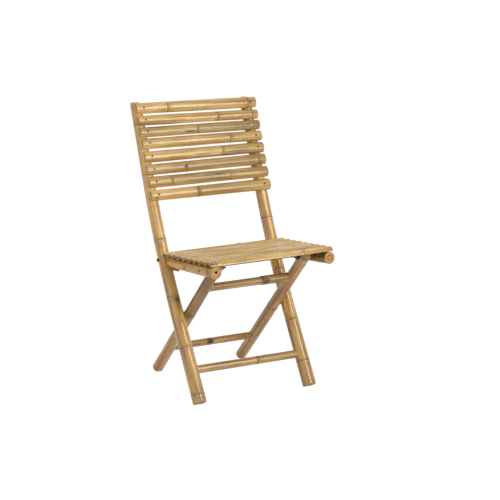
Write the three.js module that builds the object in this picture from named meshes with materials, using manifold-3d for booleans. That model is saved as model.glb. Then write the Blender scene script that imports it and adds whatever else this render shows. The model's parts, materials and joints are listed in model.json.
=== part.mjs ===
// Folding side chair of thick-walled bamboo with split cane slats.
// Two long poles are the backrest and the front legs. Two short legs cross them and carry the seat.
// The seat turns on the short leg tops and its rear end hooks over a pin on a steel bracket.
// Lengths are in millimetres, Z is up, the front faces -Y and left is -X.
import * as THREE from "three";
import { mergeVertices } from "three/addons/utils/BufferGeometryUtils.js";
import Module from "manifold-3d";

const wasm = await Module();
wasm.setup();

// General fits
const fit_gap = 0.3;
const bore_gap = 0.3;
const cut_overrun = 2;
const merge_share = 0.0001;
const search_steps = 40;

// Long poles
const foot_flat = 2.5;
const chair_height = 890;
const pole_spacing = 396;
const lower_lean_share = 0.63;
const upper_lean_share = 0.395;
const bend_start_height = 260;
const bend_end_height = 660;
const bend_steps = 6;
const pole_foot_radius = 22.75;
const pole_top_radius = 18.4;
const pole_trim = 30;
const right_pole_drop = 12;
const pole_node_shares = {
  left: [0.045, 0.184, 0.358, 0.551, 0.763, 0.93],
  right: [0.083, 0.228, 0.396, 0.575, 0.745, 0.955],
};

// Short legs
const leg_foot_setback = 407.8;
const leg_radius = 18.3;
const leg_node_shares = { left: [0.13, 0.34, 0.56, 0.75], right: [0.16, 0.44, 0.72] };
const leg_top_radius = 19.6;
const leg_top_flats = 4;

// Bamboo nodes
const node_rise = 0.5;
const node_reach = 7;
const node_profile_shares = [
  [-1, 0],
  [-0.08, 1],
  [0, -0.6],
  [0.08, 0.8],
  [1, 0],
];
const node_clear_share = 1.5;
const cut_edge = 1.2;
const cane_sides = 12;

// Stretchers
const front_stretcher_height = 101;
const front_stretcher_radius = 13.5;
const front_stretcher_node_share = 0.58;
const lower_stretcher_height = 105;
const lower_stretcher_radius = 12;
const lower_stretcher_node_share = 0.46;
const upper_stretcher_drop = 82.5;
const upper_stretcher_radius = 13;
const upper_stretcher_thick_radius = 14.8;
const upper_stretcher_node_share = 0.67;
const upper_stretcher_step_share = 0.02;
const socket_depth = 7;

// Seat rails
const seat_pivot_height = 448.5;
const seat_pivot_forward = 25.7;
const seat_slope_share = 0.13;
const rail_radius = 19.5;
const rail_front_reach = 83;
const rail_leg_gap = 2.8;
const rail_splay_share = 0.045;
const rail_node_shares = { left: [0.045, 0.41, 0.79], right: [0.105, 0.6, 0.86] };
const rail_end_space = 29;
const rail_end_rake_share = 0.37;
const rail_cope_gap = 1.6;
const pith_radius = 3.4;
const pith_depth = 9;
const pith_shift = 3;
const bore_ring_radius = 9.5;
const bore_core_radius = 5.6;
const bore_ring_depth = 3;

// Seat cross bar
const crossbar_setback = 114;
const crossbar_drop = 3;
const crossbar_radius = 12;
const crossbar_node_share = 0.4;

// Split cane slats
const slat_arc_steps = 6;
const slat_bore_steps = 2;
const back_slat_count = 8;
const back_slat_pitch = 40.3;
const back_slat_width = 36.4;
const back_slat_crown = 13.2;
const back_slat_drop = 20;
const back_slat_wall = 5;
const back_left_overhang = 12.5;
const back_right_overhang = 23.5;
const back_left_shift_shares = [0.03, 0.02, -0.02, -0.08, 0, 0.03, 0.06, 0.14];
const back_right_shift_shares = [0.32, 0.33, 0.21, 0.13, 0.12, 0.1, 0.14, 0.22];
const back_width_shares = [
  [1.03, 1.04],
  [0.95, 0.9],
  [0.95, 0.93],
  [1.01, 0.97],
  [1.07, 0.99],
  [0.99, 1.03],
  [1.06, 1.03],
  [1, 1.07],
];
const back_node_shares = [
  [0.252, 0.928],
  [0.662, 0.949],
  [0.468, 0.914],
  [0.725],
  [0.637],
  [0.319, 0.921],
  [0.183, 0.664],
  [0.391],
];
const seat_slat_count = 9;
const seat_slat_gap = 0.5;
const seat_slat_crown = 14;
const seat_slat_wall = 7.3;
const seat_left_overhang = 19;
const seat_right_overhang = 17;
const seat_slat_overhang = 1;
const seat_rear_space = 24.7;
const seat_width_shares = [
  [1, 0.98],
  [0.97, 0.99],
  [0.99, 0.97],
  [0.96, 0.98],
  [1, 0.99],
  [0.98, 0.96],
  [0.96, 0.98],
  [0.99, 1],
  [0.98, 0.96],
];
const seat_node_shares = [
  [0.055, 0.775],
  [0.36],
  [0.682],
  [0.21, 0.9],
  [0.53],
  [0.12, 0.8],
  [0.44],
  [0.71],
  [0.3],
];

// Nails
const nail_radius = 1.2;
const nail_head_radius = 3;
const nail_head_rise = 0.8;
const nail_depth = 14;
const nail_sides = 6;
const back_nail_inset = 12;

// Crossing pins and washers
const crossing_pin_radius = 5;
const crossing_pin_wall = 5.5;
const washer_radius = 11;
const washer_height = 1.8;
const washer_gap = 0.4;

// Seat bolts
const seat_bolt_radius = 3;
const seat_bolt_head_radius = 4.6;
const seat_bolt_head_rise = 1.8;
const seat_bolt_tail = 14.5;
const seat_nut_radius = 6;
const seat_nut_height = 5;
const seat_washer_radius = 8.5;
const seat_washer_height = 1.2;
const seat_washer_gap = 0.5;

// Domed bolt heads, as shares of the head's radius and rise
const dome_profile_shares = [
  [1, 0],
  [0.92, 0.55],
  [0.55, 0.92],
  [0, 1],
];

// Bracket bolts and brackets
const bracket_bolt_rise = 6;
const bracket_bolt_radius = 3.5;
const bracket_head_radius = 6.2;
const bracket_head_rise = 5;
const bracket_nut_radius = 6.5;
const bracket_nut_height = 5;
const bracket_bolt_tail = 7.5;
const bracket_plate = 2.5;
const bracket_ear_radius = 10;
const bracket_ear_steps = 8;
const bracket_arm_height = 8;
const bracket_reach = 59;
const bracket_lip_length = 20;
const bracket_lip_width = 20;
const hook_pin_radius = 3;
const hook_pin_height = 9;
const hook_slot_gap = 0.8;
const hook_slot_lead = 4;
const round_sides = 10;

// Cross bar screws
const screw_radius = 2;
const screw_head_radius = 3.4;
const screw_head_rise = 1.4;
const screw_reach = 50;

// Side and mirror
const sides = [
  ["left", -1],
  ["right", 1],
];

// Materials
const pole_cane = new THREE.MeshStandardMaterial({ color: 0xc69a58, roughness: 0.38, metalness: 0 });
const leg_cane = new THREE.MeshStandardMaterial({ color: 0xb08a55, roughness: 0.42, metalness: 0 });
const slat_cane = new THREE.MeshStandardMaterial({ color: 0xcfa661, roughness: 0.34, metalness: 0 });
const dark_steel = new THREE.MeshStandardMaterial({ color: 0x3a322b, roughness: 0.5, metalness: 0.85 });
const zinc_steel = new THREE.MeshStandardMaterial({ color: 0x8d8a84, roughness: 0.4, metalness: 0.9 });

// A vector from its three parts
function at(x, y, z) {
  return new THREE.Vector3(x, y, z);
}

const across = at(1, 0, 0);

// Turns a closed geometry into a solid
function solid(geometry) {
  const bare = geometry.clone();
  bare.deleteAttribute("normal");
  bare.deleteAttribute("uv");
  const merged = mergeVertices(bare, merge_share);
  const corners = merged.index.array;
  const kept = [];
  for (let i = 0; i < corners.length; i += 3) {
    const [a, b, c] = corners.slice(i, i + 3);
    if (a !== b && b !== c && c !== a) kept.push(a, b, c);
  }
  const vertProperties = new Float32Array(merged.attributes.position.array);
  const triVerts = new Uint32Array(kept);
  return new wasm.Manifold(new wasm.Mesh({ numProp: 3, vertProperties, triVerts }));
}

// Turns a solid into a geometry
function geometryOf(body) {
  const mesh = body.getMesh();
  const geometry = new THREE.BufferGeometry();
  geometry.setAttribute("position", new THREE.BufferAttribute(mesh.vertProperties, 3));
  geometry.setIndex(new THREE.BufferAttribute(mesh.triVerts, 1));
  geometry.computeVertexNormals();
  return geometry;
}

// Joins a list of solids
function joined(bodies) {
  return bodies.reduce((sum, body) => sum.add(body));
}

// Cuts a list of solids from one
function cut(body, cutters) {
  return cutters.length ? body.subtract(joined(cutters)) : body;
}

// Lays a geometry whose length runs along Y on a path
function layAlong(geometry, path, length, reference) {
  const spots = geometry.attributes.position;
  for (let i = 0; i < spots.count; i += 1) {
    const share = THREE.MathUtils.clamp(spots.getY(i) / length, 0, 1);
    const middle = path.getPointAt(share);
    const forward = path.getTangentAt(share);
    const side = at(0, 0, 0).crossVectors(reference, forward).normalize();
    const third = at(0, 0, 0).crossVectors(side, forward);
    middle.addScaledVector(side, spots.getX(i));
    middle.addScaledVector(third, spots.getZ(i));
    spots.setXYZ(i, middle.x, middle.y, middle.z);
  }
  return geometry;
}

// Stations along a cane, each a place along it and what its nodes add there
function stations(length, node_shares, bend_shares) {
  const list = [];
  for (const share of bend_shares) {
    const place = share * length;
    const clearance = node_reach * node_clear_share;
    const near = node_shares.some((node) => Math.abs(node * length - place) < clearance);
    if (!near) list.push([place, 0]);
  }
  for (const node of node_shares) {
    for (const [along_share, rise_share] of node_profile_shares) {
      list.push([node * length + along_share * node_reach, rise_share * node_rise]);
    }
  }
  const inside = list.filter(([place]) => place > cut_edge && place < length - cut_edge);
  return inside.sort((a, b) => a[0] - b[0]);
}

// A whole cane: a revolved profile with a ridge at each node, laid on a path
function cane(path, radiusAt, node_shares, bend_shares, reference) {
  const length = path.getLength();
  const points = [new THREE.Vector2(0, 0)];
  points.push(new THREE.Vector2(radiusAt(0) - cut_edge, 0));
  points.push(new THREE.Vector2(radiusAt(0), cut_edge));
  for (const [place, rise] of stations(length, node_shares, bend_shares)) {
    points.push(new THREE.Vector2(radiusAt(place / length) + rise, place));
  }
  points.push(new THREE.Vector2(radiusAt(1), length - cut_edge));
  points.push(new THREE.Vector2(radiusAt(1) - cut_edge, length));
  points.push(new THREE.Vector2(0, length));
  return solid(layAlong(new THREE.LatheGeometry(points, cane_sides), path, length, reference));
}

// A straight rod between two points
function rod(start, end, radius, side_count) {
  const path = new THREE.LineCurve3(start, end);
  const length = path.getLength();
  const points = [
    new THREE.Vector2(0, 0),
    new THREE.Vector2(radius, 0),
    new THREE.Vector2(radius, length),
    new THREE.Vector2(0, length),
  ];
  const run = end.clone().sub(start).normalize();
  const aside = Math.abs(run.x) > Math.SQRT1_2 ? at(0, 0, 1) : across;
  return solid(layAlong(new THREE.LatheGeometry(points, side_count), path, length, aside));
}

// Adds a named mesh to a group
function place(group, name, body, material) {
  const mesh = new THREE.Mesh(geometryOf(body), material);
  mesh.name = name;
  group.add(mesh);
}

// Side view of the long pole: a straight foot, a smooth bend and a straight back
const bend_middle_height = (bend_start_height + bend_end_height) / 2;
const bend_start = at(0, lower_lean_share * bend_start_height, bend_start_height);
const bend_corner = at(0, lower_lean_share * bend_middle_height, bend_middle_height);

function upperPoint(height) {
  return at(0, bend_corner.y + upper_lean_share * (height - bend_middle_height), height);
}

// The feet are sawn square to the cane, and their lowest edge is rubbed flat on the floor
const pole_foot_slant = lower_lean_share / Math.hypot(lower_lean_share, 1);
const pole_foot_height = pole_foot_radius * pole_foot_slant - foot_flat;
const pole_foot = at(0, lower_lean_share * pole_foot_height, pole_foot_height);
const bend_end = upperPoint(bend_end_height);
const pole_above = upperPoint(chair_height + pole_trim);

function polePath(x) {
  const shift = at(x, 0, 0);
  const moved = (point) => point.clone().add(shift);
  const path = new THREE.CurvePath();
  path.add(new THREE.LineCurve3(moved(pole_foot), moved(bend_start)));
  path.add(new THREE.QuadraticBezierCurve3(moved(bend_start), moved(bend_corner), moved(bend_end)));
  path.add(new THREE.LineCurve3(moved(bend_end), moved(pole_above)));
  return path;
}

const side_path = polePath(0);
const pole_run = side_path.getLength();
const pole_top_share = 1 - upperPoint(chair_height).distanceTo(pole_above) / pole_run;

function poleRadius(path_share) {
  return THREE.MathUtils.lerp(pole_foot_radius, pole_top_radius, path_share / pole_top_share);
}

// The share of the pole's path at which it passes through a level plane, or one tilted like the seat
function poleShareAbove(point, up) {
  let low = 0;
  let high = 1;
  for (let i = 0; i < search_steps; i += 1) {
    const middle = (low + high) / 2;
    if (side_path.getPointAt(middle).sub(point).dot(up) < 0) low = middle;
    else high = middle;
  }
  return (low + high) / 2;
}

function poleShareAt(height) {
  return poleShareAbove(at(0, 0, height), at(0, 0, 1));
}

// The short leg leans forward until its top reaches the seat pivot
const leg_foot = at(0, leg_foot_setback, 0);
const pole_x = pole_spacing / 2;
const seat_pivot = at(0, -seat_pivot_forward, seat_pivot_height);
const leg_up = seat_pivot.clone().sub(leg_foot).normalize();
const leg_lean = -leg_up.y / leg_up.z;
const crossing_height = leg_foot_setback / (lower_lean_share + leg_lean);
const crossing = at(0, lower_lean_share * crossing_height, crossing_height);

// Seat frame: back along the rails and up through the slats
const seat_back = at(0, 1, -seat_slope_share).normalize();
const seat_up = at(0, seat_slope_share, 1).normalize();

function seatPoint(x, back, up) {
  return seat_pivot.clone().addScaledVector(seat_back, back).addScaledVector(seat_up, up).setX(x);
}

// The short legs run inside the poles, a washer apart, and the rails run outside the legs
const pole_inner_at_crossing = pole_x - poleRadius(poleShareAt(crossing_height));
const leg_outer = pole_inner_at_crossing - washer_height - 2 * washer_gap;
const leg_x = leg_outer - leg_radius;
const leg_inner = leg_x - leg_radius;

function railX(back) {
  return leg_outer + rail_leg_gap + rail_radius - back * rail_splay_share;
}

// The bracket bolt sits on the pole's axis, a little above the line of the rail
const bracket_share = poleShareAbove(seatPoint(0, 0, bracket_bolt_rise), seat_up);
const bracket_centre = side_path.getPointAt(bracket_share);
const bolt_back = bracket_centre.clone().sub(seat_pivot).dot(seat_back);
const rail_rear_end = bolt_back - rail_end_space;
const back_slat_ends = [-pole_x - back_left_overhang, pole_x + back_right_overhang];
const seat_slat_ends = [-pole_x - seat_left_overhang, pole_x + seat_right_overhang];

// A slab below the floor or above the top, which cuts poles and legs level
function levelCutter(low, high) {
  const reach = chair_height;
  const slab = new THREE.BoxGeometry(reach * 2, reach * 3, high - low);
  slab.translate(0, reach / 2, (low + high) / 2);
  return solid(slab);
}

const floor_cutter = levelCutter(-pole_trim * 4, 0);
const top_cutters = {
  left: levelCutter(chair_height, chair_height + pole_trim * 4),
  right: levelCutter(chair_height - right_pole_drop, chair_height + pole_trim * 4),
};

// Split cane section, with its lands on the line y = 0
function slatSection(width, crown, wall) {
  const outer = (width * width) / (8 * crown) + crown / 2;
  const inner = outer - wall;
  const centre = crown - outer;
  const outer_turn = Math.asin(width / 2 / outer);
  const inner_turn = Math.acos(-centre / inner);
  const section = new THREE.Shape();
  for (let i = 0; i <= slat_arc_steps; i += 1) {
    const turn = outer_turn * (1 - (2 * i) / slat_arc_steps);
    const spot = [outer * Math.sin(turn), centre + outer * Math.cos(turn)];
    if (i === 0) section.moveTo(...spot);
    else section.lineTo(...spot);
  }
  for (let i = 0; i <= slat_bore_steps; i += 1) {
    const turn = inner_turn * ((2 * i) / slat_bore_steps - 1);
    section.lineTo(inner * Math.sin(turn), centre + inner * Math.cos(turn));
  }
  return section;
}

// A slat with a width for each end, standing on the line y = 0 of its own frame and running along Z
function slatGeometry(length, left_width, right_width, crown, wall, node_shares) {
  const width = (left_width + right_width) / 2;
  const list = stations(length, node_shares, []);
  const spots = [[0, 0], ...list, [length, 0]];
  const steps = spots.length - 1;
  const geometry = new THREE.ExtrudeGeometry(slatSection(width, crown, wall), {
    steps,
    depth: length,
    bevelEnabled: false,
  });
  const points = geometry.attributes.position;
  for (let i = 0; i < points.count; i += 1) {
    const [along, rise] = spots[Math.round((points.getZ(i) / length) * steps)];
    const outside = Math.hypot(points.getX(i), points.getY(i)) > crown - wall / 2;
    const raised = points.getY(i) > 0 && outside;
    const grow = raised ? 1 + rise / crown : 1;
    const taper = THREE.MathUtils.lerp(left_width, right_width, along / length) / width;
    points.setXYZ(i, points.getX(i) * grow * taper, points.getY(i) * grow, along);
  }
  return geometry;
}

// A slat with its nails. Seats are its points of rest on the left and the right cane
function slatWithNails(slat, widths, crown, wall, node_shares) {
  const { seats, along, outward, ends } = slat;
  const [left, right] = seats;
  const length = ends[1] - ends[0];
  const run = right.clone().sub(left).normalize();
  const square = along.clone().addScaledVector(run, -along.dot(run)).normalize();
  const start = left.clone().addScaledVector(run, (ends[0] - left.x) / run.x);
  const geometry = slatGeometry(length, widths[0], widths[1], crown, wall, node_shares);
  geometry.applyMatrix4(new THREE.Matrix4().makeBasis(square, outward, run));
  geometry.translate(start.x, start.y, start.z);
  const parts = [solid(geometry)];
  for (const spot of slat.nails) {
    const foot = spot.clone().addScaledVector(outward, -nail_depth);
    const crest = spot.clone().addScaledVector(outward, crown);
    const rim = spot.clone().addScaledVector(outward, crown - node_rise);
    const cap = spot.clone().addScaledVector(outward, crown + nail_head_rise);
    parts.push(rod(foot, crest, nail_radius, nail_sides));
    parts.push(rod(rim, cap, nail_head_radius, nail_sides));
  }
  return joined(parts);
}

// The hole that a nail's shank runs in, in the cane below
function nailHole(spot, outward) {
  const start = spot.clone().addScaledVector(outward, -nail_depth - bore_gap);
  const end = spot.clone().addScaledVector(outward, cut_overrun);
  return rod(start, end, nail_radius + bore_gap, nail_sides);
}

// A point on the line between two seats at a given x
function between(seats, x) {
  const [left, right] = seats;
  return left.clone().lerp(right, (x - left.x) / (right.x - left.x));
}

// The point on the front of a pole where a back slat rests
function poleFront(x, place_shares) {
  const down = back_slat_drop + back_slat_pitch * place_shares;
  const share = pole_top_share - down / pole_run;
  const along = side_path.getTangentAt(share);
  const outward = at(0, -along.z, along.y);
  const lift = poleRadius(share) + node_rise + fit_gap;
  const seat_spot = side_path.getPointAt(share).addScaledVector(outward, lift).setX(x);
  return { seat_spot, along, outward };
}

// Back slats: each rests on the fronts of both poles, and hangs a little lower on the right
const back_slats = [];
for (let i = 0; i < back_slat_count; i += 1) {
  const left = poleFront(-pole_x, i + back_left_shift_shares[i]);
  const right = poleFront(pole_x, i + back_right_shift_shares[i]);
  const seats = [left.seat_spot, right.seat_spot];
  const run = right.seat_spot.clone().sub(left.seat_spot).normalize();
  const along = left.along.clone().add(right.along).normalize();
  const outward = at(0, 0, 0).crossVectors(run, along).normalize();
  const nails = [between(seats, back_nail_inset - pole_x), between(seats, pole_x)];
  back_slats.push({ seats, along, outward, nails, ends: back_slat_ends });
}

// Seat slats: each rests on both rails
const seat_slats = [];
const seat_lift = rail_radius + node_rise + fit_gap;
const seat_front_edge = -rail_front_reach - seat_slat_overhang;
const seat_slat_pitch = (bolt_back - seat_rear_space - seat_front_edge) / seat_slat_count;
for (let i = 0; i < seat_slat_count; i += 1) {
  const back = seat_front_edge + seat_slat_pitch * (i + 0.5);
  const seats = [seatPoint(-railX(back), back, seat_lift), seatPoint(railX(back), back, seat_lift)];
  const ends = seat_slat_ends;
  seat_slats.push({ seats, along: seat_back, outward: seat_up, nails: seats, ends });
}

// Back frame

const back_frame = new THREE.Group();
const rear_legs = new THREE.Group();
const seat = new THREE.Group();

const pole_bend_shares = [];
for (let i = 0; i <= bend_steps; i += 1) {
  const height = THREE.MathUtils.lerp(bend_start_height, bend_end_height, i / bend_steps);
  pole_bend_shares.push(poleShareAt(height));
}

// Node shares are counted from foot to top, and the path runs a little past the top
function poleCane(x, node_shares, extra) {
  const radiusAt = (share) => poleRadius(share) + extra;
  const nodes = node_shares.map((share) => share * pole_top_share);
  return cane(polePath(x), radiusAt, nodes, pole_bend_shares, across);
}

// The place where a stretcher of this height enters the poles
const front_share = poleShareAt(front_stretcher_height);
const front_centre = side_path.getPointAt(front_share);
const front_end = pole_x - poleRadius(front_share) + socket_depth;

// The bracket's plate hangs just inside the pole
const plate_outer = pole_x - poleRadius(bracket_share) - fit_gap;
const plate_inner = plate_outer - bracket_plate;
const lip_up = -rail_radius - fit_gap;
const lip_front = bolt_back - bracket_reach;
const lip_middle = lip_front + bracket_lip_length / 2;

function crossRod(point, x_start, x_end, radius, side_count) {
  return rod(point.clone().setX(x_start), point.clone().setX(x_end), radius, side_count);
}

for (const [side, mirror] of sides) {
  const x = mirror * pole_x;
  const outer = x + mirror * (pole_foot_radius + cut_overrun);
  const inner = x - mirror * (pole_foot_radius + cut_overrun);
  const crossing_end = x + mirror * (pole_foot_radius - crossing_pin_wall);
  const socket_end = mirror * (front_end + fit_gap);
  const nail_index = mirror < 0 ? 0 : 1;
  const cutters = [
    floor_cutter,
    top_cutters[side],
    crossRod(bracket_centre, inner, outer, bracket_bolt_radius + bore_gap, round_sides),
    crossRod(crossing, inner, crossing_end, crossing_pin_radius + bore_gap, round_sides),
    crossRod(front_centre, inner, socket_end, front_stretcher_radius + fit_gap, cane_sides),
  ];
  for (const slat of back_slats) cutters.push(nailHole(slat.nails[nail_index], slat.outward));
  const body = cut(poleCane(x, pole_node_shares[side], 0), cutters);
  place(back_frame, "long_pole_" + side, body, pole_cane);
}

// A cane that runs straight across between two frames
function crossCane(point, half, radiusAt, node_share) {
  const path = new THREE.LineCurve3(point.clone().setX(-half), point.clone().setX(half));
  return cane(path, radiusAt, [node_share], [], at(0, 0, 1));
}

const front_stretcher = crossCane(
  front_centre,
  front_end,
  () => front_stretcher_radius,
  front_stretcher_node_share,
);
place(back_frame, "front_stretcher", front_stretcher, pole_cane);

back_slats.forEach((slat, i) => {
  const widths = back_width_shares[i].map((share) => back_slat_width * share);
  const body = slatWithNails(slat, widths, back_slat_crown, back_slat_wall, back_node_shares[i]);
  place(back_frame, "back_slat_" + (i + 1), body, slat_cane);
});

// A bolt along X: a domed head outside and a shank inward
function bolt(point, mirror, head_x, tail_x, radius, head_radius, head_rise) {
  const shank = head_x + fit_gap - tail_x;
  const length = shank + head_rise;
  const points = [
    new THREE.Vector2(0, 0),
    new THREE.Vector2(radius, 0),
    new THREE.Vector2(radius, shank),
  ];
  for (const [radius_share, rise_share] of dome_profile_shares) {
    points.push(new THREE.Vector2(head_radius * radius_share, shank + head_rise * rise_share));
  }
  const start = point.clone().setX(mirror * tail_x);
  const end = point.clone().setX(mirror * (tail_x + length));
  const path = new THREE.LineCurve3(start, end);
  return solid(layAlong(new THREE.LatheGeometry(points, round_sides), path, length, at(0, 0, 1)));
}

// A washer or nut along X: a disc of so many sides with a round bore
function ring(point, mirror, x_start, thickness, bore, radius, side_count) {
  const x_end = x_start + thickness;
  const disc = crossRod(point, mirror * x_start, mirror * x_end, radius, side_count);
  const hole_start = mirror * (x_start - cut_overrun);
  return disc.subtract(crossRod(point, hole_start, mirror * (x_end + cut_overrun), bore, round_sides));
}

const nut_sides = 6;

// The steel bracket below the rail's rear end, with its hook pin
function bracket(mirror) {
  const lip_under = lip_up - bracket_plate;
  const arm_under = lip_under - bracket_arm_height;
  const outline = new THREE.Shape();
  outline.moveTo(lip_front, lip_under);
  outline.lineTo(lip_front, lip_under - bracket_arm_height / 2);
  outline.lineTo(lip_front + bracket_arm_height / 2, arm_under);
  outline.lineTo(bolt_back, arm_under);
  outline.absarc(bolt_back, bracket_bolt_rise, bracket_ear_radius, 0, Math.PI, false);
  outline.lineTo(bolt_back - bracket_ear_radius, lip_under);
  const hole = new THREE.Path();
  hole.absarc(bolt_back, bracket_bolt_rise, bracket_bolt_radius + bore_gap, 0, 2 * Math.PI, true);
  outline.holes.push(hole);
  const plate = new THREE.ExtrudeGeometry(outline, {
    depth: bracket_plate,
    bevelEnabled: false,
    curveSegments: bracket_ear_steps,
  });
  const lip = new THREE.BoxGeometry(bracket_lip_length, bracket_plate, bracket_lip_width);
  lip.translate(lip_middle, lip_up - bracket_plate / 2, bracket_lip_width / 2);
  const flat = joined([solid(plate), solid(lip)]);
  const geometry = geometryOf(flat);
  if (mirror < 0) geometry.scale(1, 1, -1);
  if (mirror < 0) geometry.index.array.reverse();
  geometry.applyMatrix4(new THREE.Matrix4().makeBasis(seat_back, seat_up, across));
  const corner = seat_pivot.clone().setX(mirror * plate_inner);
  geometry.translate(corner.x, corner.y, corner.z);
  const pin_x = mirror * railX(lip_middle);
  const pin_foot = seatPoint(pin_x, lip_middle, lip_up - bracket_plate / 2);
  const pin_tip = seatPoint(pin_x, lip_middle, lip_up + hook_pin_height);
  return joined([solid(geometry), rod(pin_foot, pin_tip, hook_pin_radius, round_sides)]);
}

for (const [side, mirror] of sides) {
  const pole_outer = pole_x + poleRadius(bracket_share);
  const nut_top = plate_inner - fit_gap;
  const tail = nut_top - bracket_nut_height - bracket_bolt_tail;
  const bolt_body = bolt(
    bracket_centre,
    mirror,
    pole_outer,
    tail,
    bracket_bolt_radius,
    bracket_head_radius,
    bracket_head_rise,
  );
  place(back_frame, "bracket_bolt_" + side, bolt_body, dark_steel);
  const nut_start = nut_top - bracket_nut_height;
  const nut_bore = bracket_bolt_radius + bore_gap;
  const nut = ring(
    bracket_centre,
    mirror,
    nut_start,
    bracket_nut_height,
    nut_bore,
    bracket_nut_radius,
    nut_sides,
  );
  place(back_frame, "bracket_nut_" + side, nut, zinc_steel);
  place(back_frame, "seat_bracket_" + side, bracket(mirror), dark_steel);
}

// Rear legs

function legPoint(height) {
  return leg_foot.clone().addScaledVector(leg_up, height / leg_up.z);
}

const leg_low = legPoint(-leg_radius * leg_up.y - foot_flat);
const leg_high = seat_pivot.clone().addScaledVector(leg_up, leg_radius * 2);

// Takes the corners off a short leg's top, so that it turns below the slats
function legTopCutter() {
  const wide = leg_radius * 2;
  const outline = new THREE.Shape();
  outline.moveTo(wide, 0);
  outline.lineTo(wide, wide * 2);
  outline.lineTo(-wide, wide * 2);
  outline.lineTo(-wide, 0);
  for (let i = 0; i <= leg_top_flats; i += 1) {
    const turn = Math.PI * (1 - i / leg_top_flats);
    outline.lineTo(leg_top_radius * Math.cos(turn), leg_top_radius * Math.sin(turn));
  }
  const depth = 2 * leg_outer + leg_radius * 2;
  const geometry = new THREE.ExtrudeGeometry(outline, { depth, bevelEnabled: false });
  geometry.translate(0, 0, -depth / 2);
  const rearward = at(0, leg_up.z, -leg_up.y);
  geometry.applyMatrix4(new THREE.Matrix4().makeBasis(rearward, leg_up, across));
  geometry.translate(seat_pivot.x, seat_pivot.y, seat_pivot.z);
  return solid(geometry);
}

const leg_top_cutter = legTopCutter();
const leg_stretcher_end = leg_inner + socket_depth;
const lower_centre = legPoint(lower_stretcher_height);
const upper_centre = legPoint(seat_pivot_height - upper_stretcher_drop);
const leg_run = leg_low.distanceTo(leg_high);
const leg_length = leg_low.distanceTo(seat_pivot);

for (const [side, mirror] of sides) {
  const x = mirror * leg_x;
  const path = new THREE.LineCurve3(leg_low.clone().setX(x), leg_high.clone().setX(x));
  const node_shares = leg_node_shares[side].map((share) => (share * leg_length) / leg_run);
  const inner = mirror * (leg_inner - cut_overrun);
  const outer = mirror * (leg_outer + cut_overrun);
  const pin_end = mirror * (leg_inner + crossing_pin_wall);
  const socket_end = mirror * (leg_stretcher_end + fit_gap);
  const upper_radius = mirror < 0 ? upper_stretcher_radius : upper_stretcher_thick_radius;
  const cutters = [
    floor_cutter,
    leg_top_cutter,
    crossRod(seat_pivot, inner, outer, seat_bolt_radius + bore_gap, round_sides),
    crossRod(crossing, pin_end, outer, crossing_pin_radius + bore_gap, round_sides),
    crossRod(lower_centre, inner, socket_end, lower_stretcher_radius + fit_gap, cane_sides),
    crossRod(upper_centre, inner, socket_end, upper_radius + fit_gap, cane_sides),
  ];
  const body = cut(cane(path, () => leg_radius, node_shares, [], across), cutters);
  place(rear_legs, "short_leg_" + side, body, leg_cane);

  const pole_wall_end = pole_x + pole_foot_radius - crossing_pin_wall;
  const pin_start = mirror * (leg_inner + crossing_pin_wall + fit_gap);
  const pin_stop = mirror * (pole_wall_end - fit_gap);
  const pin = crossRod(crossing, pin_start, pin_stop, crossing_pin_radius, round_sides);
  place(rear_legs, "crossing_pin_" + side, pin, zinc_steel);

  const washer_start = leg_outer + washer_gap;
  const washer_bore = crossing_pin_radius + bore_gap;
  const washer = ring(
    crossing,
    mirror,
    washer_start,
    washer_height,
    washer_bore,
    washer_radius,
    round_sides,
  );
  place(rear_legs, "crossing_washer_" + side, washer, zinc_steel);

  const bolt_head_x = railX(0) + rail_radius;
  const bolt_tail_x = leg_inner - seat_bolt_tail;
  const bolt_body = bolt(
    seat_pivot,
    mirror,
    bolt_head_x,
    bolt_tail_x,
    seat_bolt_radius,
    seat_bolt_head_radius,
    seat_bolt_head_rise,
  );
  place(rear_legs, "seat_bolt_" + side, bolt_body, dark_steel);

  const nut_start = leg_inner - fit_gap - seat_nut_height;
  const nut_bore = seat_bolt_radius + bore_gap;
  const nut = ring(seat_pivot, mirror, nut_start, seat_nut_height, nut_bore, seat_nut_radius, nut_sides);
  place(rear_legs, "seat_nut_" + side, nut, dark_steel);

  const seat_washer = ring(
    seat_pivot,
    mirror,
    leg_outer + seat_washer_gap,
    seat_washer_height,
    nut_bore,
    seat_washer_radius,
    round_sides,
  );
  place(rear_legs, "seat_washer_" + side, seat_washer, zinc_steel);
}

const lower_stretcher = crossCane(
  lower_centre,
  leg_stretcher_end,
  () => lower_stretcher_radius,
  lower_stretcher_node_share,
);
place(rear_legs, "lower_leg_stretcher", lower_stretcher, leg_cane);

// The upper stretcher is a cane that grows thicker past its node
function upperRadius(share) {
  const step_start = upper_stretcher_node_share - upper_stretcher_step_share;
  const step_end = upper_stretcher_node_share + upper_stretcher_step_share;
  const grown_share = THREE.MathUtils.smoothstep(share, step_start, step_end);
  return THREE.MathUtils.lerp(upper_stretcher_radius, upper_stretcher_thick_radius, grown_share);
}

const upper_stretcher = crossCane(upper_centre, leg_stretcher_end, upperRadius, upper_stretcher_node_share);
place(rear_legs, "upper_leg_stretcher", upper_stretcher, leg_cane);

// Seat

const crossbar_centre = seatPoint(0, crossbar_setback, -crossbar_drop);
const crossbar_end = railX(crossbar_setback) - rail_radius + socket_depth;

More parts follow.
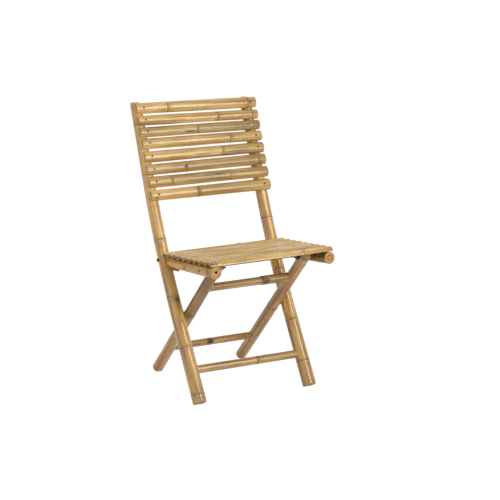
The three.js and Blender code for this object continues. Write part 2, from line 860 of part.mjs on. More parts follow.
// Cuts the rail's rear end off in line with the pole
function railEndCutter() {
  const deep = rail_radius * 3;
  const outline = new THREE.Shape();
  outline.moveTo(rail_rear_end - rail_end_rake_share * deep, -deep);
  outline.lineTo(rail_rear_end + rail_end_rake_share * deep, deep);
  outline.lineTo(rail_rear_end + deep * 2, deep);
  outline.lineTo(rail_rear_end + deep * 2, -deep);
  const depth = 2 * pole_x + rail_radius * 4;
  const geometry = new THREE.ExtrudeGeometry(outline, { depth, bevelEnabled: false });
  geometry.translate(0, 0, -depth / 2);
  geometry.applyMatrix4(new THREE.Matrix4().makeBasis(seat_back, seat_up, across));
  geometry.translate(seat_pivot.x, seat_pivot.y, seat_pivot.z);
  return solid(geometry);
}

// The slot that drops over the hook pin, longer towards the front so that the pin can leave it
function hookSlot(mirror) {
  const half = hook_pin_radius + hook_slot_gap;
  const length = half * 2 + hook_slot_lead;
  const height = hook_pin_height + hook_slot_gap + rail_radius;
  const box = new THREE.BoxGeometry(length, height, half * 2);
  const middle = lip_middle - hook_slot_lead / 2;
  const roof = -rail_radius + hook_pin_height + hook_slot_gap;
  box.translate(middle, roof - height / 2, mirror * railX(lip_middle));
  box.applyMatrix4(new THREE.Matrix4().makeBasis(seat_back, seat_up, across));
  box.translate(seat_pivot.x, seat_pivot.y, seat_pivot.z);
  return solid(box);
}

// The cut front face shows the pith hole on one side and a node's ring on the other
function frontFaceCutters(side, mirror) {
  const front = (back, x_shift, up) => seatPoint(mirror * railX(back) + x_shift, back, up);
  const outside = -rail_front_reach - cut_overrun;
  if (side === "left") {
    const hole = rod(
      front(outside, pith_shift, pith_shift),
      front(-rail_front_reach + pith_depth, pith_shift, pith_shift),
      pith_radius,
      round_sides,
    );
    return [hole];
  }
  const groove_end = -rail_front_reach + bore_ring_depth;
  const disc = rod(front(outside, 0, 0), front(groove_end, 0, 0), bore_ring_radius, round_sides);
  const core_start = front(outside - cut_overrun, 0, 0);
  const core_end = front(groove_end + cut_overrun, 0, 0);
  return [disc.subtract(rod(core_start, core_end, bore_core_radius, round_sides))];
}

const rail_end_cutter = railEndCutter();

for (const [side, mirror] of sides) {
  const start = seatPoint(mirror * railX(-rail_front_reach), -rail_front_reach, 0);
  const end = seatPoint(mirror * railX(bolt_back), bolt_back, 0);
  const path = new THREE.LineCurve3(start, end);
  const cut_reach = rail_radius + cut_overrun;
  const bolt_inner = mirror * (railX(0) - cut_reach);
  const bolt_outer = mirror * (railX(0) + cut_reach);
  const crossbar_inner = mirror * (railX(crossbar_setback) - cut_reach);
  const screw_outer = mirror * (railX(crossbar_setback) + cut_reach);
  const socket_end = mirror * (crossbar_end + fit_gap);
  const nail_index = mirror < 0 ? 0 : 1;
  const cutters = [
    rail_end_cutter,
    poleCane(mirror * pole_x, [], rail_cope_gap),
    hookSlot(mirror),
    crossRod(seat_pivot, bolt_inner, bolt_outer, seat_bolt_radius + bore_gap, round_sides),
    crossRod(crossbar_centre, crossbar_inner, socket_end, crossbar_radius + fit_gap, cane_sides),
    crossRod(crossbar_centre, crossbar_inner, screw_outer, screw_radius + bore_gap, round_sides),
    ...frontFaceCutters(side, mirror),
  ];
  for (const slat of seat_slats) cutters.push(nailHole(slat.nails[nail_index], slat.outward));
  const body = cut(cane(path, () => rail_radius, rail_node_shares[side], [], across), cutters);
  place(seat, "seat_rail_" + side, body, pole_cane);
}

const crossbar_holes = sides.map(([, mirror]) =>
  crossRod(
    crossbar_centre,
    mirror * (crossbar_end - screw_reach),
    mirror * (crossbar_end + cut_overrun),
    screw_radius + bore_gap,
    round_sides,
  ),
);
const crossbar = crossCane(crossbar_centre, crossbar_end, () => crossbar_radius, crossbar_node_share);
place(seat, "seat_crossbar", cut(crossbar, crossbar_holes), leg_cane);

for (const [side, mirror] of sides) {
  const head_x = railX(crossbar_setback) + rail_radius;
  const tail_x = crossbar_end - screw_reach + fit_gap;
  const screw = bolt(
    crossbar_centre,
    mirror,
    head_x,
    tail_x,
    screw_radius,
    screw_head_radius,
    screw_head_rise,
  );
  place(seat, "crossbar_screw_" + side, screw, dark_steel);
}

seat_slats.forEach((slat, i) => {
  const widths = seat_width_shares[i].map((share) => (seat_slat_pitch - seat_slat_gap) * share);
  const body = slatWithNails(slat, widths, seat_slat_crown, seat_slat_wall, seat_node_shares[i]);
  place(seat, "seat_slat_" + (i + 1), body, slat_cane);
});

// The whole chair, with its origin on the floor below the middle of its box
const chair = new THREE.Group();
chair.add(back_frame, rear_legs, seat);
const extent = new THREE.Box3().setFromObject(chair, true);
chair.position.set(-(extent.min.x + extent.max.x) / 2, -(extent.min.y + extent.max.y) / 2, 0);
chair.updateMatrixWorld(true);

export default chair;
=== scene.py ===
import json
import math
import random

import bmesh
import bpy
import numpy as np
from mathutils import Matrix, Vector


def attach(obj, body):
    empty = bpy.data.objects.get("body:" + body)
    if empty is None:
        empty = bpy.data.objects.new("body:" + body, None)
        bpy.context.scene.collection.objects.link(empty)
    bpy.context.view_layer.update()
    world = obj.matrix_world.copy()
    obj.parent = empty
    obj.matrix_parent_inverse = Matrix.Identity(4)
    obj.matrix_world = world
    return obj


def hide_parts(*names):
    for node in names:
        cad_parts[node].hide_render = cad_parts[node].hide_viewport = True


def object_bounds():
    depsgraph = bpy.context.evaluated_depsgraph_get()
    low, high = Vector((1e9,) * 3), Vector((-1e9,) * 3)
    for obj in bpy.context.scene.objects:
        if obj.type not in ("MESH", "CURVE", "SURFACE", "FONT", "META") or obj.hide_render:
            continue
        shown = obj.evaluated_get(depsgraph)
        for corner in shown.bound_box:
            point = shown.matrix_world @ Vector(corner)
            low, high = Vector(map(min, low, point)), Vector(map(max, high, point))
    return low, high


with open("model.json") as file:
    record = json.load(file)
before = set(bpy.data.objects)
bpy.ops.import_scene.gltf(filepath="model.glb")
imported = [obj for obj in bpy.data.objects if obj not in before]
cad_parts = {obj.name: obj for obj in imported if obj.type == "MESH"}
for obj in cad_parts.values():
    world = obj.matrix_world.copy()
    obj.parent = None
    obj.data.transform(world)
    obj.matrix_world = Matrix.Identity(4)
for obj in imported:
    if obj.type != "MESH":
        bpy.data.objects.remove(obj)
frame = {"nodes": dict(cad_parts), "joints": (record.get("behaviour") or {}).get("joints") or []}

bl_info = {
    "name": "Bamboo folding chair",
    "version": (1, 0, 0),
    "blender": (4, 5, 0),
    "location": "3D View > Sidebar > Chair",
    "description": "Builds a folding side chair of varnished bamboo with split cane slats",
    "category": "Add Mesh",
}

MM = 0.001
cad_low, cad_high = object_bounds()
joint_places = {joint["name"]: Vector(joint["pos_m"]) for joint in frame["joints"]}
SIDES = (("left", -1), ("right", 1))


def linear(code):
    """Turns an sRGB hex colour into a linear one"""
    parts = [int(code[i : i + 2], 16) / 255 for i in (0, 2, 4)]
    return tuple(p / 12.92 if p <= 0.04045 else ((p + 0.055) / 1.055) ** 2.4 for p in parts)


def length(name, millimetres, description):
    """A size that the user can change, given in millimetres"""
    return bpy.props.FloatProperty(
        name=name, description=description, default=millimetres * MM, unit="LENGTH", precision=4
    )


def ratio(name, value, description):
    """A ratio that the user can change"""
    return bpy.props.FloatProperty(name=name, description=description, default=value, precision=4)


def count(name, value, description):
    """A number of pieces that the user can change"""
    return bpy.props.IntProperty(name=name, description=description, default=value, min=1)


def power(name, value, description):
    """A lamp's power that the user can change, in watts"""
    return bpy.props.FloatProperty(name=name, description=description, default=value, unit="POWER")


def triple(name, value, description, unit="NONE"):
    """A place or a direction that the user can change"""
    return bpy.props.FloatVectorProperty(name=name, description=description, default=value, unit=unit)


def colour(name, code, description):
    """A colour that the user can change, given as an sRGB hex value"""
    return bpy.props.FloatVectorProperty(
        name=name, description=description, default=linear(code), subtype="COLOR", min=0, max=1
    )


class ChairFrameSizes(bpy.types.PropertyGroup):
    """Sizes of the poles, legs, rails and stretchers"""

    chair_height: length("Height", 890, "Floor to the top of the left pole")
    right_pole_drop: length("Right pole drop", 12, "How much lower the right pole ends")
    pole_spacing: length("Pole spacing", 396, "Between the middles of the long poles")
    lower_lean: ratio("Lower lean", 0.63, "How far the pole's foot part leans back for its height")
    upper_lean: ratio("Upper lean", 0.395, "How far the pole's back part leans back for its height")
    bend_start: length("Bend start", 260, "Height at which the pole begins to bend")
    bend_end: length("Bend end", 660, "Height at which the pole is straight again")
    pole_foot_radius: length("Pole foot radius", 22.75, "Radius of the long pole at the floor")
    pole_top_radius: length("Pole top radius", 18.4, "Radius of the long pole at its top")
    foot_flat: length("Foot flat", 2.5, "How far the lowest edge of the square foot is rubbed away")
    leg_setback: length("Leg foot setback", 407.8, "From the pole's foot to the short leg's foot")
    leg_radius: length("Leg radius", 18.3, "Radius of the short legs")
    leg_top_radius: length("Leg top radius", 19.6, "Rounding of the short leg's top about the seat bolt")
    pivot_height: length("Pivot height", 448.5, "Height of the seat bolts")
    pivot_forward: length("Pivot forward", 25.7, "How far the seat bolts lie before the poles' feet")
    seat_slope: ratio("Seat slope", 0.13, "Fall of the seat to the rear for its depth")
    rail_radius: length("Rail radius", 19.5, "Radius of the seat rails")
    rail_front: length("Rail front", 83, "How far the rails stand out before the seat bolts")
    rail_leg_gap: length("Rail gap", 2.8, "Between a rail and the short leg")
    rail_splay: ratio("Rail splay", 0.045, "How much the rails close in to the rear")
    rail_end_space: length("Rail end space", 29, "From the bracket bolt to the rail's rear end")
    rail_end_rake: ratio("Rail end rake", 0.37, "Slant of the rail's rear end")
    cope_gap: length("Cope gap", 1.6, "Between the pole and the rail's coped end")
    crossbar_setback: length("Cross bar setback", 114, "From the seat bolts to the cross bar")
    crossbar_drop: length("Cross bar drop", 3, "How far the cross bar lies below the rails' line")
    crossbar_radius: length("Cross bar radius", 12, "Radius of the cross bar")
    front_stretcher_height: length("Front stretcher height", 101, "Height of the front stretcher")
    front_stretcher_radius: length("Front stretcher radius", 13.5, "Radius of the front stretcher")
    lower_stretcher_height: length("Lower stretcher height", 105, "Height of the lower leg stretcher")
    lower_stretcher_radius: length("Lower stretcher radius", 12, "Radius of the lower leg stretcher")
    upper_stretcher_drop: length("Upper stretcher drop", 82.5, "From the seat bolts down to the upper stretcher")
    upper_stretcher_radius: length("Upper stretcher radius", 13, "Its radius at the left")
    upper_thick_radius: length("Upper stretcher thick end", 14.8, "Its radius right of its node")
    socket_depth: length("Socket depth", 7, "How deep a stretcher's end sits in the cane")
    node_rise: length("Node rise", 0.75, "Height of the ridge at a bamboo node")
    saw_edge: length("Saw edge", 1.2, "Rounding of the sanded cut ends")


class ChairSlatSizes(bpy.types.PropertyGroup):
    """Sizes of the split cane slats and their nails"""

    back_left_overhang: length("Back left overhang", 12.5, "How far the back slats pass the left pole's middle")
    back_right_overhang: length("Back right overhang", 23.5, "How far they pass the right pole's middle")
    back_wall: length("Back wall", 5, "Thickness of the back slats' split cane")
    seat_left_overhang: length("Seat left overhang", 19, "How far the seat slats pass the left pole's middle")
    seat_right_overhang: length("Seat right overhang", 17, "How far they pass the right pole's middle")
    seat_wall: length("Seat wall", 7.3, "Thickness of the seat slats' split cane")
    back_count: count("Back slats", 8, "Number of back slats")
    back_pitch: length("Back pitch", 40.3, "From one back slat to the next")
    back_width: length("Back width", 36.4, "Width of a back slat")
    back_crown: length("Back crown", 13.2, "Height of a back slat's curve")
    back_drop: length("Back drop", 20, "From the poles' top to the first slat's middle")
    seat_count: count("Seat slats", 9, "Number of seat slats")
    seat_gap: length("Seat gap", 0.5, "Between two seat slats")
    seat_crown: length("Seat crown", 14, "Height of a seat slat's curve")
    seat_overhang: length("Seat overhang", 1, "How far the first slat passes the rails' front")
    seat_rear_space: length("Seat rear space", 24.7, "From the last slat to the bracket bolts")
    rest_gap: length("Rest gap", 0.8, "Between a slat's underside and the cane that carries it")
    nail_inset: length("Nail inset", 12, "From the left pole's middle in to the nails")
    nail_head_radius: length("Nail head", 3, "Radius of the nail heads")
    nail_head_rise: length("Nail head rise", 0.8, "Height of the nail heads")
    nail_depth: length("Nail depth", 14, "Length of nail below the slat")
    nail_radius: length("Nail radius", 1.2, "Radius of the nails")


class ChairSteelSizes(bpy.types.PropertyGroup):
    """Sizes of the bolts, nuts, washers, screws and brackets"""

    bracket_bolt_rise: length("Bracket bolt rise", 6, "How far the bracket bolt sits above the rail's line")
    bracket_bolt_radius: length("Bracket bolt", 3.5, "Radius of the bracket bolts")
    bracket_head_radius: length("Bracket bolt head", 6.2, "Radius of the bracket bolts' heads")
    bracket_head_rise: length("Bracket head rise", 5, "Height of the bracket bolts' heads")
    bracket_nut_radius: length("Bracket nut", 6.5, "Radius of the bracket nuts over their corners")
    bracket_nut_height: length("Bracket nut height", 5, "Height of the bracket nuts")
    bracket_tail: length("Bracket bolt tail", 7.5, "Thread that shows past the bracket nut")
    plate: length("Plate", 2.5, "Thickness of the steel plate")
    ear_radius: length("Ear radius", 10, "Rounding of the bracket about its bolt")
    arm_height: length("Arm height", 8, "Height of the bracket's arm below its lip")
    bracket_reach: length("Bracket reach", 59, "From the bolt to the bracket's front end")
    lip_length: length("Lip length", 20, "Length of the bracket's lip")
    lip_width: length("Lip width", 20, "Width of the bracket's lip")
    hook_radius: length("Hook pin", 3, "Radius of the hook pin")
    hook_height: length("Hook pin height", 9, "Height of the hook pin above the lip")
    seat_bolt_radius: length("Seat bolt", 3, "Radius of the seat bolts")
    seat_head_radius: length("Seat bolt head", 4.6, "Radius of the seat bolts' heads")
    seat_head_rise: length("Seat bolt head rise", 1.8, "Height of the seat bolts' heads")
    seat_tail: length("Seat bolt tail", 14.5, "Length of seat bolt inside the leg")
    seat_nut_radius: length("Seat nut", 6, "Radius of the seat nuts over their corners")
    seat_nut_height: length("Seat nut height", 5, "Height of the seat nuts")
    washer_radius: length("Washer", 11, "Radius of the washers at the crossing")
    washer_height: length("Washer height", 1.8, "Thickness of the washers at the crossing")
    washer_gap: length("Washer gap", 0.4, "Play beside the washers at the crossing")
    crossing_bore: length("Crossing bore", 5.3, "Bore of the washers at the crossing")
    seat_washer_radius: length("Seat washer", 8.5, "Radius of the seat washers")
    seat_washer_height: length("Seat washer height", 1.2, "Thickness of the seat washers")
    seat_washer_gap: length("Seat washer gap", 0.5, "Play beside the seat washers")
    screw_radius: length("Screw", 2, "Radius of the cross bar screws")
    screw_head_radius: length("Screw head", 3.4, "Radius of the cross bar screws' heads")
    screw_head_rise: length("Screw head rise", 1.4, "Height of the cross bar screws' heads")
    screw_reach: length("Screw reach", 50, "How deep the screws enter the cross bar")
    thread_pitch: length("Thread pitch", 1.25, "Distance between two turns of a thread")
    fit_gap: length("Fit gap", 0.3, "Play between fitted pieces")


class ChairColours(bpy.types.PropertyGroup):
    """Colours of the cane, the steel and the floor"""

    pole_light: colour("Pole straw", "d4aa5c", "Light straw parts of the poles")
    pole_dark: colour("Pole tan", "b68a42", "Tan parts of the poles")
    rail_light: colour("Rail straw", "e2aa45", "Light straw parts of the seat rails")
    rail_dark: colour("Rail tan", "c28a31", "Tan parts of the seat rails")
    leg_light: colour("Leg straw", "e2ba83", "Light parts of the short legs")
    leg_dark: colour("Leg tan", "c0945b", "Tan parts of the short legs")
    slat_light: colour("Slat straw", "d8b56e", "Light parts of the slats")
    slat_dark: colour("Slat tan", "bb934f", "Tan parts of the slats")
    streak: colour("Streak", "7d5528", "The long brown streaks in the skin")
    groove: colour("Node groove", "55391b", "The dark line in a node's groove")
    scar: colour("Node scar", "e9d0a0", "The pale scar beside a node's groove")
    # The mark colour also paints shade: on the short legs' tops, along the rails' tops under the slats, at the seat
    # slats' left corners and in the hollows of sawn ends
    stain_and_shade: colour("Stain", "4a2c14", "Buds, burns and rust marks on the cane")
    # The split face's colour is darkened as painted shade for the slats' hollows
    inside: colour("Split face", "70522e", "The raw inside of the split cane")
    cut_light: colour("Cut straw", "c8a268", "The sawn ends between the fibres")
    cut_dark: colour("Cut fibre", "7c5629", "The ends of the fibres in a sawn end")
    black_steel: colour("Black steel", "4a3c2b", "Oiled black bolts and brackets")
    old_steel: colour("Old steel", "94744c", "The brackets' browned steel")
    rust: colour("Rust", "6b3d20", "Rust on the black steel")
    zinc: colour("Zinc", "b4b1a8", "Zinc plating on nuts and washers")
    white_rust: colour("Dull zinc", "8b8880", "Dull parts of the zinc plating")
    floor: colour("Floor", "e4e2de", "The floor as it lights the chair")


class ChairStage(bpy.types.PropertyGroup):
    """Camera and lights"""

    camera_place: triple("Camera place", (-2.88, -5.502, 2.0285), "Where the camera stands", "LENGTH")
    camera_right: triple("Camera right", (0.8814, -0.4724, 0.0031), "The way to the picture's right")
    camera_up: triple("Camera up", (0.1143, 0.2196, 0.9689), "The way to the picture's top")
    lens: bpy.props.FloatProperty(
        name="Lens", description="Focal length in millimetres", default=144, unit="CAMERA"
    )
    key_way: triple("Key light", (0.33, -0.855, 0.4), "The way from the chair to the main lamp")
    key_power: power("Key power", 64, "Power of the main lamp")
    fill_power: power("Fill power", 13, "Power of the soft lamp at the left")
    front_power: power("Front power", 4, "Power of the soft lamp in front")
    top_power: power("Top power", 24, "Power of the soft lamp overhead")
    sky: ratio("Room light", 0.34, "Strength of the even light round the chair")
    side_light: ratio("Side light", 0.2, "How much stronger the room light is at the left")


# Places of the bamboo nodes along each cane, as shares of its length
POLE_NODES = {
    "left": (0.024, 0.1805, 0.353, 0.545, 0.763, 0.93),
    "right": (0.0786, 0.2207, 0.396, 0.575, 0.745, 0.955),
}
LEG_NODES = {"left": (0.56,), "right": (0.519,)}
RAIL_NODES = {"left": (0.014, 0.068), "right": (0.132, 0.6, 0.86)}
CROSS_NODES = {"stretcher_front": 0.585, "stretcher_lower": 0.445, "stretcher_upper": 0.65, "cross_bar": 0.4}

# Hand fitting of the back slats: how far each end hangs below its even place, in pitches
BACK_LEFT_SHIFTS = (0.03, 0.02, -0.02, -0.08, 0, 0.03, 0.06, 0.14)
BACK_RIGHT_SHIFTS = (0.32, 0.33, 0.21, 0.13, 0.12, 0.1, 0.14, 0.22)
BACK_WIDTHS = (
    (1.03, 1.04), (0.95, 0.9), (0.95, 0.93), (1.01, 0.97),
    (1.07, 0.99), (0.99, 1.03), (1.06, 1.03), (1, 1.07),
)
BACK_NODES = (
    (0.252, 0.925), (0.652, 0.945), (0.465, 0.942, 0.968), (0.726,),
    (0.642,), (0.315, 0.928), (0.183, 0.668), (0.378, 0.392),
)
SEAT_WIDTHS = (
    (1, 0.98), (0.97, 0.99), (0.99, 0.97), (0.96, 0.98), (1, 0.99),
    (0.98, 0.96), (0.96, 0.98), (0.99, 1), (0.98, 0.96),
)
SEAT_NODES = (
    (0.051, 0.758), (0.85,), (0.88,), (0.03, 0.83), (0.739,),
    (0.86,), (0.05, 0.8), (0.89,), (0.615,),
)

# Marks on a cane: place along it as a share, turn round it in degrees, half width and half length in
# millimetres, how far it stands up in millimetres, and how dark it is
POLE_MARKS = {
    "left": (
        (0.338, 78, 11, 10, 0.3, 0.75), (0.315, 92, 5, 24, 0, 0.45), (0.372, 150, 4, 7, 0.6, 0.5),
        (0.52, 121, 5, 9, 0.2, 0.55), (0.598, 122, 1.8, 2.5, 0.3, 0.7), (0.77, 250, 4, 7, 0.6, 0.6),
        (0.0255, 143, 3.5, 5, 0.5, 0.8), (0.19, 250, 4, 7, 0.6, 0.6), (0.254, 115, 2.5, 30, 0, 0.35),
        (0.29, 100, 2, 24, 0, 0.45), (0.655, 70, 2.4, 40, 0, 0.3), (0.44, 128, 3, 30, 0, 0.35),
    ),
    "right": (
        (0.0835, 155, 3.5, 5, 0.5, 0.75), (0.235, 60, 4, 7, 0.6, 0.5), (0.403, 140, 4, 7, 0.6, 0.55),
        (0.64, 127, 4, 60, 0, 0.5), (0.553, 139, 3, 40, 0, 0.4), (0.31, 110, 3, 22, 0, 0.3),
        (0.14, 130, 2.4, 30, 0, 0.3),
    ),
}
LEG_MARKS = {
    "left": (
        # The first mark, all round the top, is painted shade under the seat
        (0.985, 0, 90, 13, 0, 0.9), (0.3, 200, 4, 30, 0, 0.25), (0.8, 190, 5, 26, 0, 0.3), (0.57, 120, 4, 6, 0.5, 0.6),
    ),
    "right": (
        # The first mark, all round the top, is painted shade under the seat
        (0.99, 0, 90, 9, 0, 0.7), (0.668, 172, 4, 12, 0, 0.35), (0.509, 111, 4, 5, 0.4, 0.5),
        (0.93, 60, 6, 8, 0.8, 0.6), (0.35, 160, 3, 40, 0, 0.25), (0.225, 155, 3.4, 4, 0, 0.5),
    ),
}
RAIL_MARKS = {
    "left": (
        # The fourth mark, a long band along the top, is painted shade under the seat slats
        (0.014, 0, 90, 1.5, 0, 1), (0.068, 0, 90, 2, 0, 1.1), (0.07, 60, 5, 5, 0.3, 0.6), (0.5, 270, 11, 170, 0, 0.5),
        (0.48, 351, 3, 40, 0, 0.35),
    ),
    "right": (
        # The first mark, a long band along the top, is painted shade under the seat slats
        (0.5, 270, 11, 170, 0, 0.8), (0.138, 348, 6, 5, 0.4, 0.7), (0.605, 300, 4, 7, 0.5, 0.6),
        (0.3, 200, 5, 40, 0, 0.5),
    ),
}
CROSS_MARKS = {
    "stretcher_front": ((0.592, 227, 4, 5, 0.5, 0.5), (0.33, 300, 3, 9, 0, 0.4), (0.8, 200, 3, 30, 0, 0.3)),
    "stretcher_lower": (
        (0.452, 200, 9, 11, 1.3, 1.1), (0.643, 156, 2.5, 3, 0, 0.7), (0.7, 200, 3, 16, 0, 0.3),
        (0.035, 166, 4, 4, 0, 0.6),
    ),
    "stretcher_upper": (
        (0.695, 180, 8, 11, 0.8, 1), (0.66, 210, 6, 5, 0.4, 0.8), (0.3, 220, 3, 30, 0, 0.35),
        (0.85, 150, 5, 14, 0, 0.4),
    ),
    "cross_bar": ((0.41, 180, 4, 6, 0.6, 0.6),),
}

# Marks on the slats: slat number, place along it as a share, place across it from -1 at its lower edge
# to 1, half width and half length in millimetres, how far it stands up in millimetres, how dark it is
BACK_MARKS = (
    (1, 0.21, -0.6, 2.2, 2.6, 0.2, 0.7), (1, 0.925, 0.5, 6, 4, 0.3, 0.45), (2, 0.945, 0.07, 2.6, 3, 0.2, 0.45),
    (3, 0.402, -0.57, 3.5, 16, 0, 0.75), (3, 0.468, -0.75, 3, 5, 0.3, 0.7), (3, 0.955, 0.15, 5, 6, 0.2, 0.45),
    (4, 0.74, 0.2, 3, 4, 0.4, 0.4), (4, 0.45, -0.5, 2.5, 40, 0, 0.35), (5, 0.48, -0.3, 1.8, 30, 0, 0.6),
    (5, 0.577, -0.1, 1.6, 22, 0, 0.5), (5, 0.78, -0.3, 4, 30, 0, 0.35), (6, 0.318, -0.1, 4, 5, 0.9, 0.95),
    (6, 0.7, -0.5, 3, 40, 0, 0.35), (6, 0.95, -0.7, 4, 7, 0.3, 0.6), (7, 0.576, 0.25, 2, 13, 0, 0.8),
    (7, 0.363, 0.52, 1.8, 12, 0, 0.6), (7, 0.46, 0.1, 1.4, 30, 0, 0.5), (7, 0.25, -0.1, 1.4, 26, 0, 0.5),
    (7, 0.668, 0.6, 3, 3, 0.4, 0.75), (7, 0.83, -0.5, 4, 30, 0, 0.35), (8, 0.389, 0.4, 4, 4, 0.5, 0.6),
    (8, 0.04, -0.7, 5, 6, 0, 0.6),
)
SEAT_MARKS = (
    (1, 0.768, -0.4, 4, 5, 0.4, 0.5), (1, 0.055, 0.1, 3, 4, 0.3, 0.5), (2, 0.3, 0.1, 3, 50, 0, 0.25),
    (3, 0.69, 0.1, 5, 20, 0, 0.3), (4, 0.22, -0.2, 3, 50, 0, 0.25), (5, 0.745, 0.1, 3.4, 4, 0.6, 0.6),
    (6, 0.35, -0.5, 2, 40, 0, 0.3), (8, 0.42, -0.3, 3, 40, 0, 0.25), (9, 0.622, -0.2, 5, 6, 0.8, 0.7),
)
# Every seat slat has painted shade at both corners of its left end, in the gaps above the rail
SEAT_CORNER_SHADE = [(0.01, -0.95, 2.6, 13, 0, 0.9), (0.01, 0.95, 2.6, 13, 0, 0.9)]

# How light each internode is, from the left or from the floor: 1 is a fifth lighter, -1 a fifth darker
TONES = {
    # The upper internodes of the left pole are painted lighter, against the shade of the back slats
    "pole_left": (-0.2, -0.1, 0.4, 1.7, 1.9, 1.9, 1.9),
    "pole_right": (-0.9, -0.3, 0.8, 1.8, 1.7, -1, 0),
    "stretcher_front": (-0.4, -1.4),
    "stretcher_lower": (-0.8, -0.6),
    "stretcher_upper": (-0.8, -1.2),
    # The left leg's upper internode is painted darker, as painted shade under the seat
    "leg_left": (0.7, -1.9),
    "leg_right": (0.5, 0),
    "rail_left": (1, 1, 2),
    "rail_right": (-2.4, -2.2, -1),
    "back_cane_1": (1.3, 0.5, 0),
    "back_cane_2": (1.5, 0.3, 0.4),
    "back_cane_3": (-0.2, -1.1, -0.8, -0.8),
    "back_cane_4": (0.6, 0.2),
    "back_cane_5": (1.4, -0.8),
    "back_cane_6": (-0.3, -0.4, 0),
    "back_cane_7": (0.6, -0.4, 0.1),
    "back_cane_8": (2, 1, -0.3),
    "seat_cane_1": (-0.85, 1.05, 0.75),
    "seat_cane_2": (-0.25, 1.65),
    "seat_cane_3": (0.85, 1.35),
    "seat_cane_4": (-0.25, 0.95, 1.25),
    "seat_cane_5": (1.15, 1.95),
    "seat_cane_6": (1.55, 0.75),
    "seat_cane_7": (-0.25, 0.65, 0.05),
    "seat_cane_8": (1.35, 0.45),
    "seat_cane_9": (1.35, 1.75),
}

# Rings of a cane's sawn end: radius and depth in millimetres. A dished pith hole, and a node's ring
PITH_RINGS = ((9, 0), (6, 0), (4.8, 0.1), (4.3, 0.8), (4, 5), (2.8, 8.4), (1.2, 9))
RING_RINGS = (
    (12, 0), (9.9, 0), (9.5, 0.4), (9.3, 2.7), (8.9, 3), (6.2, 3), (5.8, 2.7), (5.6, 0.4), (5.2, 0), (3, 0),
)
PLAIN_RINGS = ((9, 0), (5, 0), (2.4, 0.3), (1.4, 1.6))
RAIL_RINGS = {"left": PITH_RINGS, "right": RING_RINGS}
# How far the pith hole lies off the middle
PITH_SHIFT = MM * np.array((-2, -1.25))
# Round heads: shares of the height and radius
NAIL_HEAD = ((0, 1), (0.45, 0.95), (0.8, 0.7), (0.97, 0.35))
BOLT_HEAD = ((0.12, 1), (0.4, 0.95), (0.7, 0.78), (0.9, 0.5), (0.98, 0.22))
# The seat's nails have smaller heads, filled with putty. So are the back's right nails but for these slats
SEAT_NAIL_SHARE, BARE_RIGHT_NAILS = 0.75, (1, 4, 5, 8)
# Length of thread on the cross bar screws
SCREW_THREAD = 30 * MM

# The first random seed of each row of canes
SEEDS = {"poles": 11, "stretchers": 21, "legs": 31, "rails": 41, "back": 100, "seat": 200}
# Points round a cane, and over each face of a split cane
CANE_SIDES, ARC_STEPS = 64, 26


def tone_along(name, nodes, runs):
    """How light each point of a cane is: each internode has its own tone, which in places holds painted light and
    shade
    """
    tones = TONES.get(name, (0,))
    tones = [tones[min(i, len(tones) - 1)] for i in range(len(nodes) + 1)]
    return np.array(tones)[np.searchsorted(np.asarray(nodes), runs)]


def unit(vector):
    """A vector of length one"""
    vector = np.asarray(vector, float)
    return vector / np.linalg.norm(vector)


class Path:
    """A line in space that a cane is laid on, measured by the run along it"""

    def __init__(self, points, side):
        self.points = np.asarray(points, float)
        steps = np.linalg.norm(np.diff(self.points, axis=0), axis=1)
        self.runs = np.concatenate([[0], np.cumsum(steps)])
        self.length = self.runs[-1]
        self.side = unit(side)

    def spot(self, run):
        """Points at the given runs"""
        return np.stack([np.interp(run, self.runs, self.points[:, k]) for k in range(3)], axis=-1)

    def way(self, run):
        """Directions of the path at the given runs"""
        reach = 3 * MM
        ahead = self.spot(run + reach) - self.spot(run - reach)
        return ahead / np.linalg.norm(ahead, axis=-1, keepdims=True)

    def third(self, run):
        """Directions square to the path and to its side"""
        return np.cross(self.side, self.way(run))


